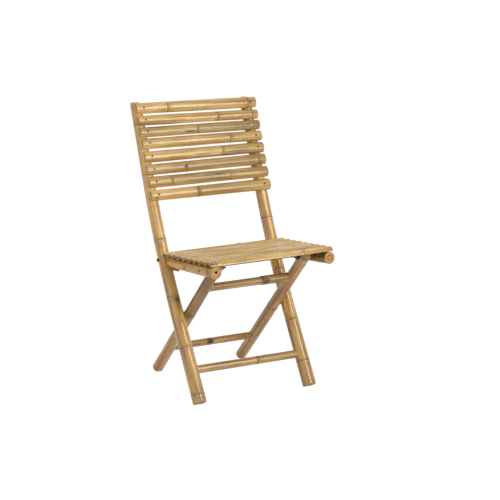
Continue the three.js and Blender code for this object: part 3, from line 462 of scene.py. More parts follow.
class Plan:
    """Where each cane and fitting goes, worked out from the sizes in the panel"""

    def __init__(self, scene):
        self.sizes = size = scene.chair_frame_sizes
        self.slats = scene.chair_slat_sizes
        self.steel = scene.chair_steel_sizes
        self.shift = joint_places["seat_fold"].y + size.pivot_forward
        self.pole_x = size.pole_spacing / 2
        trim = 30 * MM
        slant = size.lower_lean / math.hypot(size.lower_lean, 1)
        foot_height = size.pole_foot_radius * slant - size.foot_flat
        middle = (size.bend_start + size.bend_end) / 2
        corner = (size.lower_lean * middle, middle)

        def upper(height):
            """The straight back part of the pole, above the bend"""
            return (corner[0] + size.upper_lean * (height - middle), height)

        start = (size.lower_lean * size.bend_start, size.bend_start)
        end = upper(size.bend_end)
        share = np.linspace(0, 1, 81)[:, None]
        curve = np.array(start) * (1 - share) ** 2 + np.array(corner) * 2 * share * (1 - share)
        curve = curve + np.array(end) * share**2
        low = (size.lower_lean * foot_height, foot_height)
        self.side_line = np.vstack([[low], curve, [upper(size.chair_height + trim)]])
        self.side_path = self.pole_path(0)
        self.top_run = self.run_at_height(size.chair_height)

        foot = np.array([0, size.leg_setback + self.shift, 0])
        self.pivot = np.array([0, self.shift - size.pivot_forward, size.pivot_height])
        self.leg_foot = foot
        self.leg_up = unit(self.pivot - foot)
        self.leg_low = self.leg_point(-size.leg_radius * self.leg_up[1] - size.foot_flat)
        crossing_height = size.leg_setback / (size.lower_lean - self.leg_up[1] / self.leg_up[2])
        self.crossing = np.array([0, size.lower_lean * crossing_height + self.shift, crossing_height])
        self.seat_back = unit((0, 1, -size.seat_slope))
        self.seat_up = unit((0, size.seat_slope, 1))
        pole_inner = self.pole_x - self.pole_radius(self.run_at_height(crossing_height))
        self.leg_outer = pole_inner - self.steel.washer_height - 2 * self.steel.washer_gap
        self.leg_x = self.leg_outer - size.leg_radius
        self.leg_inner = self.leg_x - size.leg_radius
        bolt_line = self.seat_point(0, 0, self.steel.bracket_bolt_rise)
        self.bolt_run = self.run_above(bolt_line, self.seat_up)
        self.bolt_centre = self.side_path.spot(self.bolt_run)
        self.bolt_back = float((self.bolt_centre - self.pivot) @ self.seat_back)
        slats = self.slats
        self.back_ends = (-self.pole_x - slats.back_left_overhang, self.pole_x + slats.back_right_overhang)
        self.seat_ends = (-self.pole_x - slats.seat_left_overhang, self.pole_x + slats.seat_right_overhang)

    def pole_path(self, x):
        """The long pole's line at a given x"""
        back, up = self.side_line.T
        return Path(np.column_stack([np.full(len(back), x), back + self.shift, up]), (1, 0, 0))

    def run_above(self, point, up):
        """The run at which the pole passes through a plane"""
        heights = (self.side_path.points - point) @ up
        return float(np.interp(0, heights, self.side_path.runs))

    def run_at_height(self, height):
        """The run at which the pole reaches a height"""
        return self.run_above(np.array([0, 0, height]), np.array([0, 0, 1.0]))

    def pole_radius(self, run):
        """The pole tapers evenly from foot to top"""
        share = run / self.top_run
        return self.sizes.pole_foot_radius + (self.sizes.pole_top_radius - self.sizes.pole_foot_radius) * share

    def seat_point(self, x, back, up):
        """A point in the seat's own frame, from the seat bolts"""
        point = self.pivot + self.seat_back * back + self.seat_up * up
        return np.array([x, point[1], point[2]])

    def rail_x(self, back):
        """How far out a rail's middle is"""
        size = self.sizes
        return self.leg_outer + size.rail_leg_gap + size.rail_radius - back * size.rail_splay

    def leg_point(self, height):
        """A point on the short leg's middle line"""
        return self.leg_foot + self.leg_up * height / self.leg_up[2]


# Distances of the rings of points from a node and from a sawn end, and between rings elsewhere
NODE_STEPS = MM * np.array((
    -24, -16, -11, -8, -6, -4.5, -3.4, -2.6, -2, -1.5, -1, -0.6, -0.2, 0.2,
    0.6, 1, 1.5, 2, 2.6, 3.3, 4, 5, 6.2, 7.6, 9.5, 12, 16, 24,
))
CANE_END_STEPS = MM * np.array((0, 0.12, 0.35, 0.7, 1.1, 1.6, 2.4))
SLAT_END_STEPS = MM * np.array((0, 0.1, 0.3, 0.6, 1, 1.5, 2.1, 3))
PLAIN_STEP, LEAST_STEP = 11 * MM, 0.35 * MM
# How far from its ends a cane and a slat have plain rings, and the rounding of a slat's sawn ends
CANE_MARGIN, SLAT_MARGIN, SLAT_EDGE = 3 * MM, 4.5 * MM, 1.5 * MM
# How uneven the skin and a slat's split edges are, and how far its stains reach round a nail
SKIN_WAVE, EDGE_WAVE, NAIL_STAIN = 0.05 * MM, 0.12 * MM, 4.6 * MM
# How far the map of distances from a node reaches
FARTHEST_GAP = 60 * MM


def ridge(gap):
    """Outline of a bamboo node, for a ridge of one, at a distance from its groove"""
    gap = gap / MM
    # Height, middle and half width of the sharp scar, the groove, the round ridge and the swelling
    waves = ((0.5, -1.5, 0.8), (-0.55, 0, 0.8), (0.75, 2.6, 2.2), (0.25, 0, 9))
    return sum(high * np.exp(-(((gap - middle) / wide) ** 2)) for high, middle, wide in waves)


def stations_between(low, high, nodes, marks):
    """Places along a cane where it needs a ring of points"""
    places = [np.arange(low, high, PLAIN_STEP), [low, high]]
    places += [node + NODE_STEPS for node in nodes]
    places += [mark + np.linspace(-2, 2, 17) * half for mark, half in marks]
    found = np.sort(np.concatenate(places))
    found = found[(found >= low) & (found <= high)]
    kept = [found[0]]
    for place in found[1:]:
        if place - kept[-1] > LEAST_STEP:
            kept.append(place)
    return np.array(kept)


def nearest_gap(runs, nodes):
    """Signed distance from the nearest node"""
    gaps = runs[..., None] - np.asarray(nodes)
    index = np.abs(gaps).argmin(axis=-1)
    return np.take_along_axis(gaps, index[..., None], axis=-1)[..., 0]


def rounding(distance, radius):
    """How far a rounded edge falls back at a distance from it"""
    inside = np.clip(radius - distance, 0, radius)
    return radius - np.sqrt(radius**2 - inside**2)


def draw_mark(height, stain_and_shade, off, far, mark):
    """Raises and darkens a mark, given by its half width, half length, rise and darkness"""
    half_width, half_length, rise, dark = mark
    shape = np.exp(-((off / (half_width * MM)) ** 2) - (far / (half_length * MM)) ** 2)
    return height + rise * MM * shape, np.maximum(stain_and_shade, dark * np.clip(shape * 1.6, 0, 1))


def place_mesh(name, mesh, sharp_angle):
    """Puts a mesh in the scene, smooth but for its sharp edges"""
    mesh.shade_smooth()
    mesh.set_sharp_from_angle(angle=math.radians(sharp_angle))
    mesh.update()
    piece = bpy.data.objects.new(name, mesh)
    bpy.context.scene.collection.objects.link(piece)
    return piece


def make_mesh(name, points, faces, slots, skins, values, sharp_angle):
    """A new object from points and faces, with the values its finish reads at each point"""
    mesh = bpy.data.meshes.new(name)
    mesh.from_pydata(np.clip(points, cad_low, cad_high).tolist(), [], faces)
    mesh.polygons.foreach_set("material_index", np.asarray(slots, np.int32))
    for skin in skins:
        mesh.materials.append(finish(skin))
    for key, value in values.items():
        kind, field = ("FLOAT_VECTOR", "vector") if value.ndim == 2 else ("FLOAT", "value")
        layer = mesh.attributes.new(key, kind, "POINT")
        layer.data.foreach_set(field, value.astype(np.float32).ravel())
    turned = bmesh.new()
    turned.from_mesh(mesh)
    bmesh.ops.recalc_face_normals(turned, faces=turned.faces)
    turned.to_mesh(mesh)
    turned.free()
    return place_mesh(name, mesh, sharp_angle)


def ring_faces(ring_count, sides, closed=False):
    """Four-cornered faces between rings that follow each other, and if asked for the two end faces"""
    faces = []
    for i in range(ring_count - 1):
        here, ahead = i * sides, (i + 1) * sides
        faces += [(here + j, here + (j + 1) % sides, ahead + (j + 1) % sides, ahead + j) for j in range(sides)]
    if closed:
        last = (ring_count - 1) * sides
        faces += [tuple(range(sides - 1, -1, -1)), tuple(range(last, last + sides))]
    return faces


def cane_values(name, nodes, coordinate, gap, stain_and_shade, chance):
    """What the finishes of a cane read at each point. Its grain starts at a place of its own"""
    start = np.array([chance.uniform(0, 1), chance.uniform(0, 1), chance.uniform(0, 3)])
    return {
        "cane_space": coordinate + start,
        "section_space": coordinate,
        "node_gap": np.clip(gap, -FARTHEST_GAP, FARTHEST_GAP).ravel(),
        "stain_and_shade": stain_and_shade.ravel(),
        "tone": tone_along(name, nodes, coordinate[:, 2]),
    }


def cane(plan, name, path, radius, nodes, ends, seed, marks, rings, skin, rise_share=1.0):
    """A whole bamboo cane. Each end is a surface, given as the run at which a line of the cane meets it"""
    chance = random.Random(seed)
    radius_of = radius if callable(radius) else lambda run: radius + 0 * run
    edge = plan.sizes.saw_edge
    turns = np.linspace(0, 2 * math.pi, CANE_SIDES, endpoint=False)
    around = np.stack([np.cos(turns), np.sin(turns)], axis=-1)
    centre = 0 * turns
    low, high = (end(*(radius_of(end(centre, centre)) * around.T)) for end in ends)
    spots = [(low.min() + m[0] * (high.max() - low.min()), m[3] * MM) for m in marks]
    middle = stations_between(low.max() + CANE_MARGIN, high.min() - CANE_MARGIN, nodes, spots)
    middle = np.repeat(middle[:, None], CANE_SIDES, 1)
    runs = np.vstack([low + CANE_END_STEPS[:, None], middle, high - CANE_END_STEPS[::-1, None]])
    skin_slots = [0] * ((len(runs) - 1) * CANE_SIDES)

    gap = nearest_gap(runs, nodes)
    reach = radius_of(runs) + plan.sizes.node_rise * rise_share * ridge(gap)
    for _ in range(5):
        phase, rate, lobes = chance.uniform(0, 6.28), chance.uniform(9, 23), chance.choice((1, 2, 2, 3))
        reach = reach - SKIN_WAVE * (1 + np.sin(rate * runs + lobes * turns + phase))
    reach = reach - rounding(runs - low, edge) - rounding(high - runs, edge)
    stain_and_shade = np.zeros_like(runs)
    for (place, _), mark in zip(spots, marks):
        off = np.angle(np.exp(1j * (turns - math.radians(mark[1])))) * reach
        reach, stain_and_shade = draw_mark(reach, stain_and_shade, off, runs - place, mark[2:])

    section = reach[..., None] * around
    blocks = [(section, runs, gap, stain_and_shade)]
    for end, rim, end_rows, inward in zip(ends, (section[0], section[-1]), rings, (1, -1)):
        size = float(np.linalg.norm(rim, axis=1).mean())
        shift = PITH_SHIFT if end_rows is PITH_RINGS else np.zeros(2)
        caps = [(rim * 0.985, 0.0), (rim * 0.93, 0.0)]
        for ring_radius, depth in end_rows:
            inside = min(ring_radius * MM, size * 0.9)
            ring = around * inside + shift * min(1, (1 - inside / size) * 1.25)
            caps.append((ring, depth * MM * inward))
        for ring, depth in caps:
            # Dirt and painted shade brown the hollows of an end: the deeper a ring lies, the darker it is
            dirt_and_shade = min(0.75, abs(depth) / (8 * MM))
            flat = np.ones((1, CANE_SIDES))
            block = (ring[None], (end(ring[:, 0], ring[:, 1]) + depth)[None], flat, flat * dirt_and_shade)
            blocks = [block, *blocks] if inward == 1 else [*blocks, block]
    section, runs, gap, stain_and_shade = (np.concatenate(rows) for rows in zip(*blocks))
    points = path.spot(runs) + section[..., :1] * path.side + section[..., 1:] * path.third(runs)
    cap_slots = [[1] * ((len(rows) + 2) * CANE_SIDES) for rows in rings]
    coordinate = np.dstack([section, runs]).reshape(-1, 3)
    return make_mesh(
        name, points.reshape(-1, 3), ring_faces(len(runs), CANE_SIDES, closed=True),
        cap_slots[0] + skin_slots + cap_slots[1] + [1, 1], (skin, "sawn_bamboo_end"),
        cane_values(name, nodes, coordinate, gap, stain_and_shade, chance), 40,
    )


def slat(name, place, widths, crown, wall, ends, nodes, seed, marks, rise):
    """A split cane slat, resting on its two lands, with its curve outward"""
    chance = random.Random(seed)
    (left, right), along, outward, nails = place
    run_way = unit(right - left)
    square = unit(along - run_way * (along @ run_way))
    start = left + run_way * (ends[0] - left[0]) / run_way[0]
    total = ends[1] - ends[0]
    width = (widths[0] + widths[1]) / 2
    outer = width**2 / (8 * crown) + crown / 2
    inner = outer - wall
    centre = crown - outer
    outer_turn = math.asin(width / 2 / outer)
    inner_turn = math.acos(-centre / inner)
    outer_turns = np.linspace(outer_turn, -outer_turn, ARC_STEPS)
    inner_turns = np.linspace(-inner_turn, inner_turn, ARC_STEPS)
    node_runs = [part * total for part in nodes]
    spots = [(mark[0] * total, max(mark[3], 3) * MM) for mark in marks]
    nail_runs = [float((nail - start) @ run_way) for nail in nails]
    fine = spots + [(run, 5 * MM) for run in nail_runs]
    middle = stations_between(SLAT_MARGIN, total - SLAT_MARGIN, node_runs, fine)
    runs = np.concatenate([SLAT_END_STEPS, middle, total - SLAT_END_STEPS[::-1]])
    gap = nearest_gap(runs, node_runs)
    taper = (widths[0] + (widths[1] - widths[0]) * runs / total)[:, None] / width

    ways = np.stack([np.sin(outer_turns), np.cos(outer_turns)], axis=-1)
    arc = ways * outer + np.array([0, centre])
    proud = rise * ridge(gap)[:, None] * np.clip(arc[:, 1] / (0.35 * crown), 0, 1)[None]
    sway = np.zeros((len(runs), ARC_STEPS))
    for _ in range(4):
        phase, rate, lean = chance.uniform(0, 6.28), chance.uniform(8, 30), chance.uniform(-1, 1)
        sway += SKIN_WAVE * (1 + np.sin(rate * runs[:, None] + lean * outer_turns[None] * 2 + phase))
    fall = rounding(runs, SLAT_EDGE) + rounding(total - runs, SLAT_EDGE)
    lift = proud - sway - fall[:, None]
    stain_and_shade = np.zeros((len(runs), ARC_STEPS))
    offsets = outer_turns[None] * outer
    for mark, (spot, _) in zip(marks, spots):
        off = offsets - mark[1] * width / 2
        lift, stain_and_shade = draw_mark(lift, stain_and_shade, off, (runs - spot)[:, None], mark[2:])
    for run in nail_runs:
        away = np.hypot((runs - run)[:, None], offsets) / NAIL_STAIN
        stain_and_shade = np.maximum(stain_and_shade, (0.55 if name.startswith("back") else 0.2) * np.exp(-(away**3)))
    # The split edges are a little uneven
    wobble = np.zeros((2, len(runs)))
    for side in range(2):
        for _ in range(3):
            phase, rate = chance.uniform(0, 6.28), chance.uniform(10, 40)
            wobble[side] += EDGE_WAVE * (1 + np.sin(rate * runs + phase))
    edge_weight = np.clip(np.abs(arc[:, 0]) / (width / 2), 0, 1) ** 4
    pull = np.where(arc[None, :, 0] > 0, wobble[0][:, None], -wobble[1][:, None])
    outer_x = arc[None, :, 0] * taper + ways[None, :, 0] * lift - pull * edge_weight[None]
    outer_y = np.maximum(arc[None, :, 1] + ways[None, :, 1] * lift, 0)

    ways = np.stack([np.sin(inner_turns), np.cos(inner_turns)], axis=-1)
    arc = ways * inner + np.array([0, centre])
    # What is left of the wall that closed the cane at a node
    septum = 1.8 * MM * np.exp(-((gap / (1.6 * MM)) ** 2))[:, None] * np.clip(arc[:, 1] / (0.3 * crown), 0, 1)
    inner_x = arc[None, :, 0] * taper - ways[None, :, 0] * septum
    inner_y = np.maximum(arc[None, :, 1] - ways[None, :, 1] * septum, 0)

    ring_x = np.hstack([outer_x, inner_x])
    ring_y = np.hstack([outer_y, inner_y])
    sides = 2 * ARC_STEPS
    depth = np.repeat(runs[:, None], sides, 1)
    points = start + ring_x[..., None] * square + ring_y[..., None] * outward + depth[..., None] * run_way
    faces = ring_faces(len(runs), sides)
    slots = ([0] * (ARC_STEPS - 1) + [2] * (ARC_STEPS + 1)) * (len(runs) - 1)
    last = (len(runs) - 1) * sides
    for j in range(ARC_STEPS - 1):
        faces.append((j + 1, j, sides - 1 - j, sides - 2 - j))
        faces.append((last + j, last + j + 1, last + sides - 2 - j, last + sides - 1 - j))
        slots += [1, 1]
    coordinate = np.dstack([ring_x, ring_y - centre, depth]).reshape(-1, 3)
    gap = np.repeat(gap[:, None], sides, 1)
    stain_and_shade = np.hstack([stain_and_shade, np.zeros((len(runs), ARC_STEPS))])
    return make_mesh(
        name, points.reshape(-1, 3), faces, slots, ("varnished_split_cane", "sawn_bamboo_end", "raw_split_bamboo"),
        cane_values(name, node_runs, coordinate, gap, stain_and_shade, chance), 40,
    )


def lathe(name, start, way, profile, sides, skin, twist=None):
    """A turned steel piece: rings of a radius at a distance along its axis, with a thread or flats by twist"""
    way = unit(way)
    aside = unit(np.cross(way, (0, 0, 1) if abs(way[2]) < 0.9 else (1, 0, 0)))
    other = np.cross(way, aside)
    turns = np.linspace(0, 2 * math.pi, sides, endpoint=False)
    rings = []
    for distance, radius in profile:
        here = np.full(sides, radius) if twist is None else twist(distance, radius, turns)
        ring = np.asarray(start) + way * distance
        rings.append(ring + here[:, None] * (np.cos(turns)[:, None] * aside + np.sin(turns)[:, None] * other))
    points = np.concatenate(rings)
    if profile[0] == profile[-1]:
        points = points[:-sides]
        faces = [tuple(index % len(points) for index in face) for face in ring_faces(len(rings), sides)]
    else:
        faces = ring_faces(len(rings), sides, closed=True)
    values = {"metal_space": points - np.asarray(start)}
    return make_mesh(name, points, faces, [0] * len(faces), [skin], values, 35)


def add(tree, kind, inputs=(), **settings):
    """Adds a node with its settings. Its inputs, by name or in order, are values or sockets to link from"""
    node = tree.nodes.new(kind)
    for key, value in settings.items():
        setattr(node, key, value)
    for key, value in inputs.items() if isinstance(inputs, dict) else enumerate(inputs):
        if isinstance(value, bpy.types.NodeSocket):
            tree.links.new(value, node.inputs[key])
        else:
            node.inputs[key].default_value = value
    return node


def blank_tree(owner):
    """The emptied node tree of a material or a world"""
    owner.use_nodes = True
    owner.node_tree.nodes.clear()
    return owner.node_tree


def bamboo_skin(tree, colours, part, roughness, varnish):
    """The outside of bamboo under clear varnish. The eye sees long straw and tan streaks that run with
    the cane, a change of tone at each node, a dark line in the node's groove with a pale scar beside it,
    brown bud and burn marks, painted shade where other pieces shadow the cane, and a clean narrow gloss
    line from the varnish on top"""
    light, dark = getattr(colours, part + "_light"), getattr(colours, part + "_dark")
    place = add(tree, "ShaderNodeAttribute", attribute_name="cane_space").outputs["Vector"]
    gap, tone, mark = (
        add(tree, "ShaderNodeAttribute", attribute_name=name).outputs["Fac"] for name in ("node_gap", "tone", "stain_and_shade")
    )
    # Scale across and along the cane, detail and roughness of each pattern
    noises = (
        # Cloudy patches, 30 mm across the cane and 120 mm along it
        ((33, 33, 8), 3, 0.55),
        # Broad brown bands, 10 mm across the cane and 300 mm along it
        ((100, 100, 3.4), 2, 0.5),
        # Streaks of fibre bundles. Real ones are 1 mm wide, drawn 3.3 mm wide and 160 mm long so that they show
        ((300, 300, 6), 4, 0.6),
        # Fine fibres, 0.8 mm wide and 40 mm long, for the near view
        ((1250, 1250, 25), 2, 0.5),
        # Small dark flecks where the skin was scuffed, 4 mm wide and 11 mm long at most
        ((260, 260, 90), 1, 0.4),
        # Slow waves in the varnish, 33 mm across and 140 mm long
        ((30, 30, 7), 0, 0.5),
    )
    patterns = []
    for scale, detail, rough in noises:
        stretched = add(tree, "ShaderNodeVectorMath", (place, scale), operation="MULTIPLY").outputs[0]
        inputs = {"Vector": stretched, "Scale": 1, "Detail": detail, "Roughness": rough}
        patterns.append(add(tree, "ShaderNodeTexNoise", inputs).outputs["Fac"])
    cloud, band, streak, fibre, fleck, ripple = patterns
    distance = add(tree, "ShaderNodeMath", (gap,), operation="ABSOLUTE").outputs[0]
    # The pale scar lies 2.8 mm from the groove
    scar = add(tree, "ShaderNodeMath", (gap, -0.0028), operation="SUBTRACT").outputs[0]
    scar = add(tree, "ShaderNodeMath", (scar,), operation="ABSOLUTE").outputs[0]
    # A value, its range, the range it becomes, and how it runs between them
    ranges = (
        (cloud, 0.34, 0.66, 0, 1, "SMOOTHSTEP"),
        (band, 0.46, 0.68, 0, 0.6, "SMOOTHSTEP"),
        (streak, 0.42, 0.68, 0, 0.42, "LINEAR"),
        (fibre, 0.3, 0.75, 0.9, 1.08, "LINEAR"),
        # The node: a brown cast that fades over 18 mm, a pale scar, and a dark broken groove up to 3 mm wide
        (distance, 0.002, 0.018, 0.75, 0, "SMOOTHSTEP"),
        (scar, 0.0006, 0.0026, 0.35, 0, "SMOOTHSTEP"),
        (distance, 0.0008, 0.0024, 0.72, 0, "SMOOTHSTEP"),
        (cloud, 0.36, 0.56, 0.35, 1, "LINEAR"),
        # The ragged edge of bud and burn marks, and of the painted shade
        (streak, 0.3, 0.6, 0.55, 1, "LINEAR"),
        (fleck, 0.7, 0.8, 0, 0.5, "LINEAR"),
        (streak, 0.3, 0.7, roughness - 0.07, roughness + 0.1, "LINEAR"),
    )
    shares = []
    for *inputs, run in ranges:
        shares.append(add(tree, "ShaderNodeMapRange", inputs, interpolation_type=run).outputs[0])
    clouded, banded, streaked, fibrous, cast, scarred, grooved, broken, ragged, flecked, rough = shares
    cast = add(tree, "ShaderNodeMath", (cast, cloud), operation="MULTIPLY").outputs[0]
    grooved = add(tree, "ShaderNodeMath", (grooved, broken), operation="MULTIPLY").outputs[0]
    ragged = add(tree, "ShaderNodeMath", (mark, ragged), operation="MULTIPLY", use_clamp=True).outputs[0]
    toned = add(tree, "ShaderNodeMath", (tone, 0.2, 1), operation="MULTIPLY_ADD").outputs[0]
    toned = add(tree, "ShaderNodeMath", (fibrous, toned), operation="MULTIPLY").outputs[0]
    # A darker internode is a little richer in colour too
    richness = add(tree, "ShaderNodeMath", (tone, -0.012, 1), operation="MULTIPLY_ADD").outputs[0]

    colour = (*light, 1)
    for share, tint in ((clouded, dark), (banded, colours.streak), (streaked, colours.streak)):
        colour = add(tree, "ShaderNodeMix", {0: share, 6: colour, 7: (*tint, 1)}, data_type="RGBA").outputs[2]
    inputs = {"Hue": 0.5, "Saturation": richness, "Value": toned, "Color": colour}
    colour = add(tree, "ShaderNodeHueSaturation", inputs).outputs["Color"]
    layers = (
        (cast, tuple(value * 0.6 for value in dark)), (scarred, colours.scar), (grooved, colours.groove),
        (ragged, colours.stain_and_shade), (flecked, colours.stain_and_shade),
    )
    for share, tint in layers:
        colour = add(tree, "ShaderNodeMix", {0: share, 6: colour, 7: (*tint, 1)}, data_type="RGBA").outputs[2]

    height = add(tree, "ShaderNodeMath", (fibre, 0.35, streak), operation="MULTIPLY_ADD").outputs[0]
    bump = add(tree, "ShaderNodeBump", {"Height": height, "Strength": 0.5, "Distance": 0.00025})
    coat_bump = add(tree, "ShaderNodeBump", {"Height": ripple, "Strength": 0.05, "Distance": 0.0004})
    return {
        "IOR": 1.45, "Specular IOR Level": 0.1, "Coat Weight": varnish, "Coat Roughness": 0.1, "Coat IOR": 1.55,
        "Base Color": colour, "Roughness": rough, "Normal": bump.outputs["Normal"],
        "Coat Normal": coat_bump.outputs["Normal"],
    }


def sawn_end(tree, colours):
    """A sawn and sanded bamboo end. The eye sees pale straw wood full of small brown fibre ends, which
    crowd together towards the skin, faint saw marks, and no gloss"""
    place = add(tree, "ShaderNodeAttribute", attribute_name="section_space").outputs["Vector"]
    dirt_and_shade = add(tree, "ShaderNodeAttribute", attribute_name="stain_and_shade").outputs["Fac"]
    flat = add(tree, "ShaderNodeVectorMath", (place, (1, 1, 0)), operation="MULTIPLY").outputs[0]
    # Fibre ends are 0.5 mm across, drawn 1.3 mm across so that they show
    dots = add(tree, "ShaderNodeTexVoronoi", {"Vector": flat, "Scale": 760, "Randomness": 0.9}).outputs["Distance"]
    reach = add(tree, "ShaderNodeVectorMath", (flat,), operation="LENGTH").outputs["Value"]
    crowd = add(tree, "ShaderNodeMapRange", (reach, 0.003, 0.018, 0.3, 0.5)).outputs[0]
    dot = add(tree, "ShaderNodeMath", (crowd, dots), operation="SUBTRACT").outputs[0]
    dot = add(tree, "ShaderNodeMapRange", (dot, 0, 0.15, 0, 0.75)).outputs[0]
    # Clouds 11 mm across
    inputs = {"Vector": place, "Scale": 90, "Detail": 3, "Roughness": 0.6}
    cloud = add(tree, "ShaderNodeTexNoise", inputs).outputs["Fac"]
    clouded = add(tree, "ShaderNodeMapRange", (cloud, 0.3, 0.7, 0, 0.45)).outputs[0]
    rough = add(tree, "ShaderNodeMapRange", (cloud, 0, 1, 0.62, 0.8)).outputs[0]
    colour = (*colours.cut_light, 1)
    # Dirt and painted shade brown the hollows of an end
    for share, tint in ((clouded, colours.cut_dark), (dot, colours.cut_dark), (dirt_and_shade, colours.stain_and_shade)):
        colour = add(tree, "ShaderNodeMix", {0: share, 6: colour, 7: (*tint, 1)}, data_type="RGBA").outputs[2]
    # Saw marks 2 mm apart
    inputs = {"Vector": place, "Scale": 160, "Distortion": 3, "Detail": 2}
    saw = add(tree, "ShaderNodeTexWave", inputs, wave_type="BANDS").outputs["Fac"]
    height = add(tree, "ShaderNodeMath", (dot, -0.6, saw), operation="MULTIPLY_ADD").outputs[0]
    bump = add(tree, "ShaderNodeBump", {"Height": height, "Strength": 0.4, "Distance": 0.0003})
    return {"IOR": 1.45, "Base Color": colour, "Roughness": rough, "Normal": bump.outputs["Normal"]}


def split_face(tree, colours):
    """The raw inside of split cane. The eye sees matt, pale, stringy wood with long fibres standing up
    a little, darker where dust has settled near the nodes. Its colour is darker than that pale wood, as
    painted shade in the hollows under the slats"""
    place = add(tree, "ShaderNodeAttribute", attribute_name="cane_space").outputs["Vector"]
    gap = add(tree, "ShaderNodeAttribute", attribute_name="node_gap").outputs["Fac"]
    # Strings of fibre, 1.6 mm wide and 60 mm long
    stretched = add(tree, "ShaderNodeVectorMath", (place, (620, 620, 16)), operation="MULTIPLY").outputs[0]
    inputs = {"Vector": stretched, "Scale": 1, "Detail": 4, "Roughness": 0.65}
    strings = add(tree, "ShaderNodeTexNoise", inputs).outputs["Fac"]
    stringy = add(tree, "ShaderNodeMapRange", (strings, 0.3, 0.72, 0, 0.6)).outputs[0]
    rough = add(tree, "ShaderNodeMapRange", (strings, 0, 1, 0.66, 0.86)).outputs[0]
    distance = add(tree, "ShaderNodeMath", (gap,), operation="ABSOLUTE").outputs[0]
    dusty = add(tree, "ShaderNodeMapRange", (distance, 0.001, 0.012, 0.6, 0)).outputs[0]
    colour = (*colours.inside, 1)
    for share, tint in ((stringy, colours.slat_dark), (dusty, colours.cut_dark)):
        colour = add(tree, "ShaderNodeMix", {0: share, 6: colour, 7: (*tint, 1)}, data_type="RGBA").outputs[2]
    bump = add(tree, "ShaderNodeBump", {"Height": strings, "Strength": 0.7, "Distance": 0.0005})
    return {"IOR": 1.45, "Base Color": colour, "Roughness": rough, "Normal": bump.outputs["Normal"]}


def steel(tree, colours, base, worn, roughness, metallic, own_place=True):
    """Steel hardware. Black steel is oiled and dull with brown rust in spots. Zinc plated steel is grey
    and softly bright, with a faint cloudy spangle and duller patches where it was handled"""
    if own_place:
        place = add(tree, "ShaderNodeAttribute", attribute_name="metal_space").outputs["Vector"]
    else:
        place = add(tree, "ShaderNodeTexCoord").outputs["Object"]
    # Blotches 3 mm across
    inputs = {"Vector": place, "Scale": 330, "Detail": 4, "Roughness": 0.65}
    blotch = add(tree, "ShaderNodeTexNoise", inputs).outputs["Fac"]
    # Pits 0.8 mm across
    pits = add(tree, "ShaderNodeTexNoise", {"Vector": place, "Scale": 1250, "Detail": 2}).outputs["Fac"]
    blotched = add(tree, "ShaderNodeMapRange", (blotch, 0.48, 0.68, 0, 0.75)).outputs[0]
    rough = add(tree, "ShaderNodeMapRange", (blotch, 0, 1, roughness - 0.08, roughness + 0.22)).outputs[0]
    inputs = {0: blotched, 6: (*getattr(colours, base), 1), 7: (*getattr(colours, worn), 1)}
    colour = add(tree, "ShaderNodeMix", inputs, data_type="RGBA").outputs[2]
    bump = add(tree, "ShaderNodeBump", {"Height": pits, "Strength": 0.35, "Distance": 0.0001})
    return {"Metallic": metallic, "Base Color": colour, "Roughness": rough, "Normal": bump.outputs["Normal"]}


# How each finish is made. The bamboo skins have their colour, roughness and varnish, and the steels
# their two colours, roughness and metal. The pins' meshes come from the CAD and hold no place of their own
FINISHES = {
    "varnished_bamboo_pole": (bamboo_skin, "pole", 0.5, 1),
    "varnished_bamboo_rail": (bamboo_skin, "rail", 0.5, 0.5),
    "varnished_bamboo_leg": (bamboo_skin, "leg", 0.5, 0.45),
    "varnished_split_cane": (bamboo_skin, "slat", 0.45, 0.8),
    "sawn_bamboo_end": (sawn_end,),
    "raw_split_bamboo": (split_face,),
    "oiled_black_steel": (steel, "black_steel", "rust", 0.42, 0.85),
    "rusted_bracket_steel": (steel, "old_steel", "pole_dark", 0.6, 0.2),
    "tan_nail_putty": (steel, "slat_dark", "pole_dark", 0.55, 0),
    "zinc_plated_steel": (steel, "zinc", "white_rust", 0.34, 1),
    "zinc_plated_pin": (steel, "zinc", "white_rust", 0.34, 1, False),
}


def finish(key):
    """The finished material of that name, made when it is first asked for"""
    material = bpy.data.materials.get(key)
    if not material:
        material = bpy.data.materials.new(key)
        tree = blank_tree(material)
        maker, *values = FINISHES[key]
        shader = add(tree, "ShaderNodeBsdfPrincipled", maker(tree, bpy.context.scene.chair_colours, *values))
        add(tree, "ShaderNodeOutputMaterial", {"Surface": shader.outputs["BSDF"]})
    return material


def settle(piece, body, slot, *nodes):
    """Lets a piece ride on its body and stand for its CAD nodes. Its slot is not used"""
    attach(piece, body)
    if nodes:
        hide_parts(*nodes)
    return piece


def flat_end(run):
    """An end cut square to the cane"""
    return lambda a, b: run + 0 * a


def level_end(path, run, height):
    """An end cut level at a height, near a given run"""
    here = np.array(run)
    way, third, spot = path.way(here), path.third(here), path.spot(here)
    return lambda a, b: run + (height - (spot[2] + a * path.side[2] + b * third[2])) / way[2]


def foot_end(path):
    """A foot sawn square to the cane, with its lowest edge rubbed flat on the floor"""
    level = level_end(path, 0.0, 0.0)
    return lambda a, b: np.maximum(level(a, b), 0)


class CHAIR_OT_long_poles(bpy.types.Operator):
    """The two bent poles that are front legs and back posts in one"""

    bl_idname = "chair.long_poles"
    bl_label = "Long poles"

    def execute(self, context):
        plan = Plan(context.scene)
        size = plan.sizes
        for number, (side, mirror) in enumerate(SIDES):
            path = plan.pole_path(mirror * plan.pole_x)
            top = size.chair_height - (size.right_pole_drop if side == "right" else 0)
            ends = (foot_end(path), level_end(path, plan.run_at_height(top), top))
            nodes = [part * plan.top_run for part in POLE_NODES[side]]
            piece = cane(
                plan, "pole_" + side, path, plan.pole_radius, nodes, ends, SEEDS["poles"] + number, POLE_MARKS[side],
                (PLAIN_RINGS, PITH_RINGS), "varnished_bamboo_pole",
            )
            settle(piece, "back_frame", "pole_cane", "long_pole_" + side)
        return {"FINISHED"}


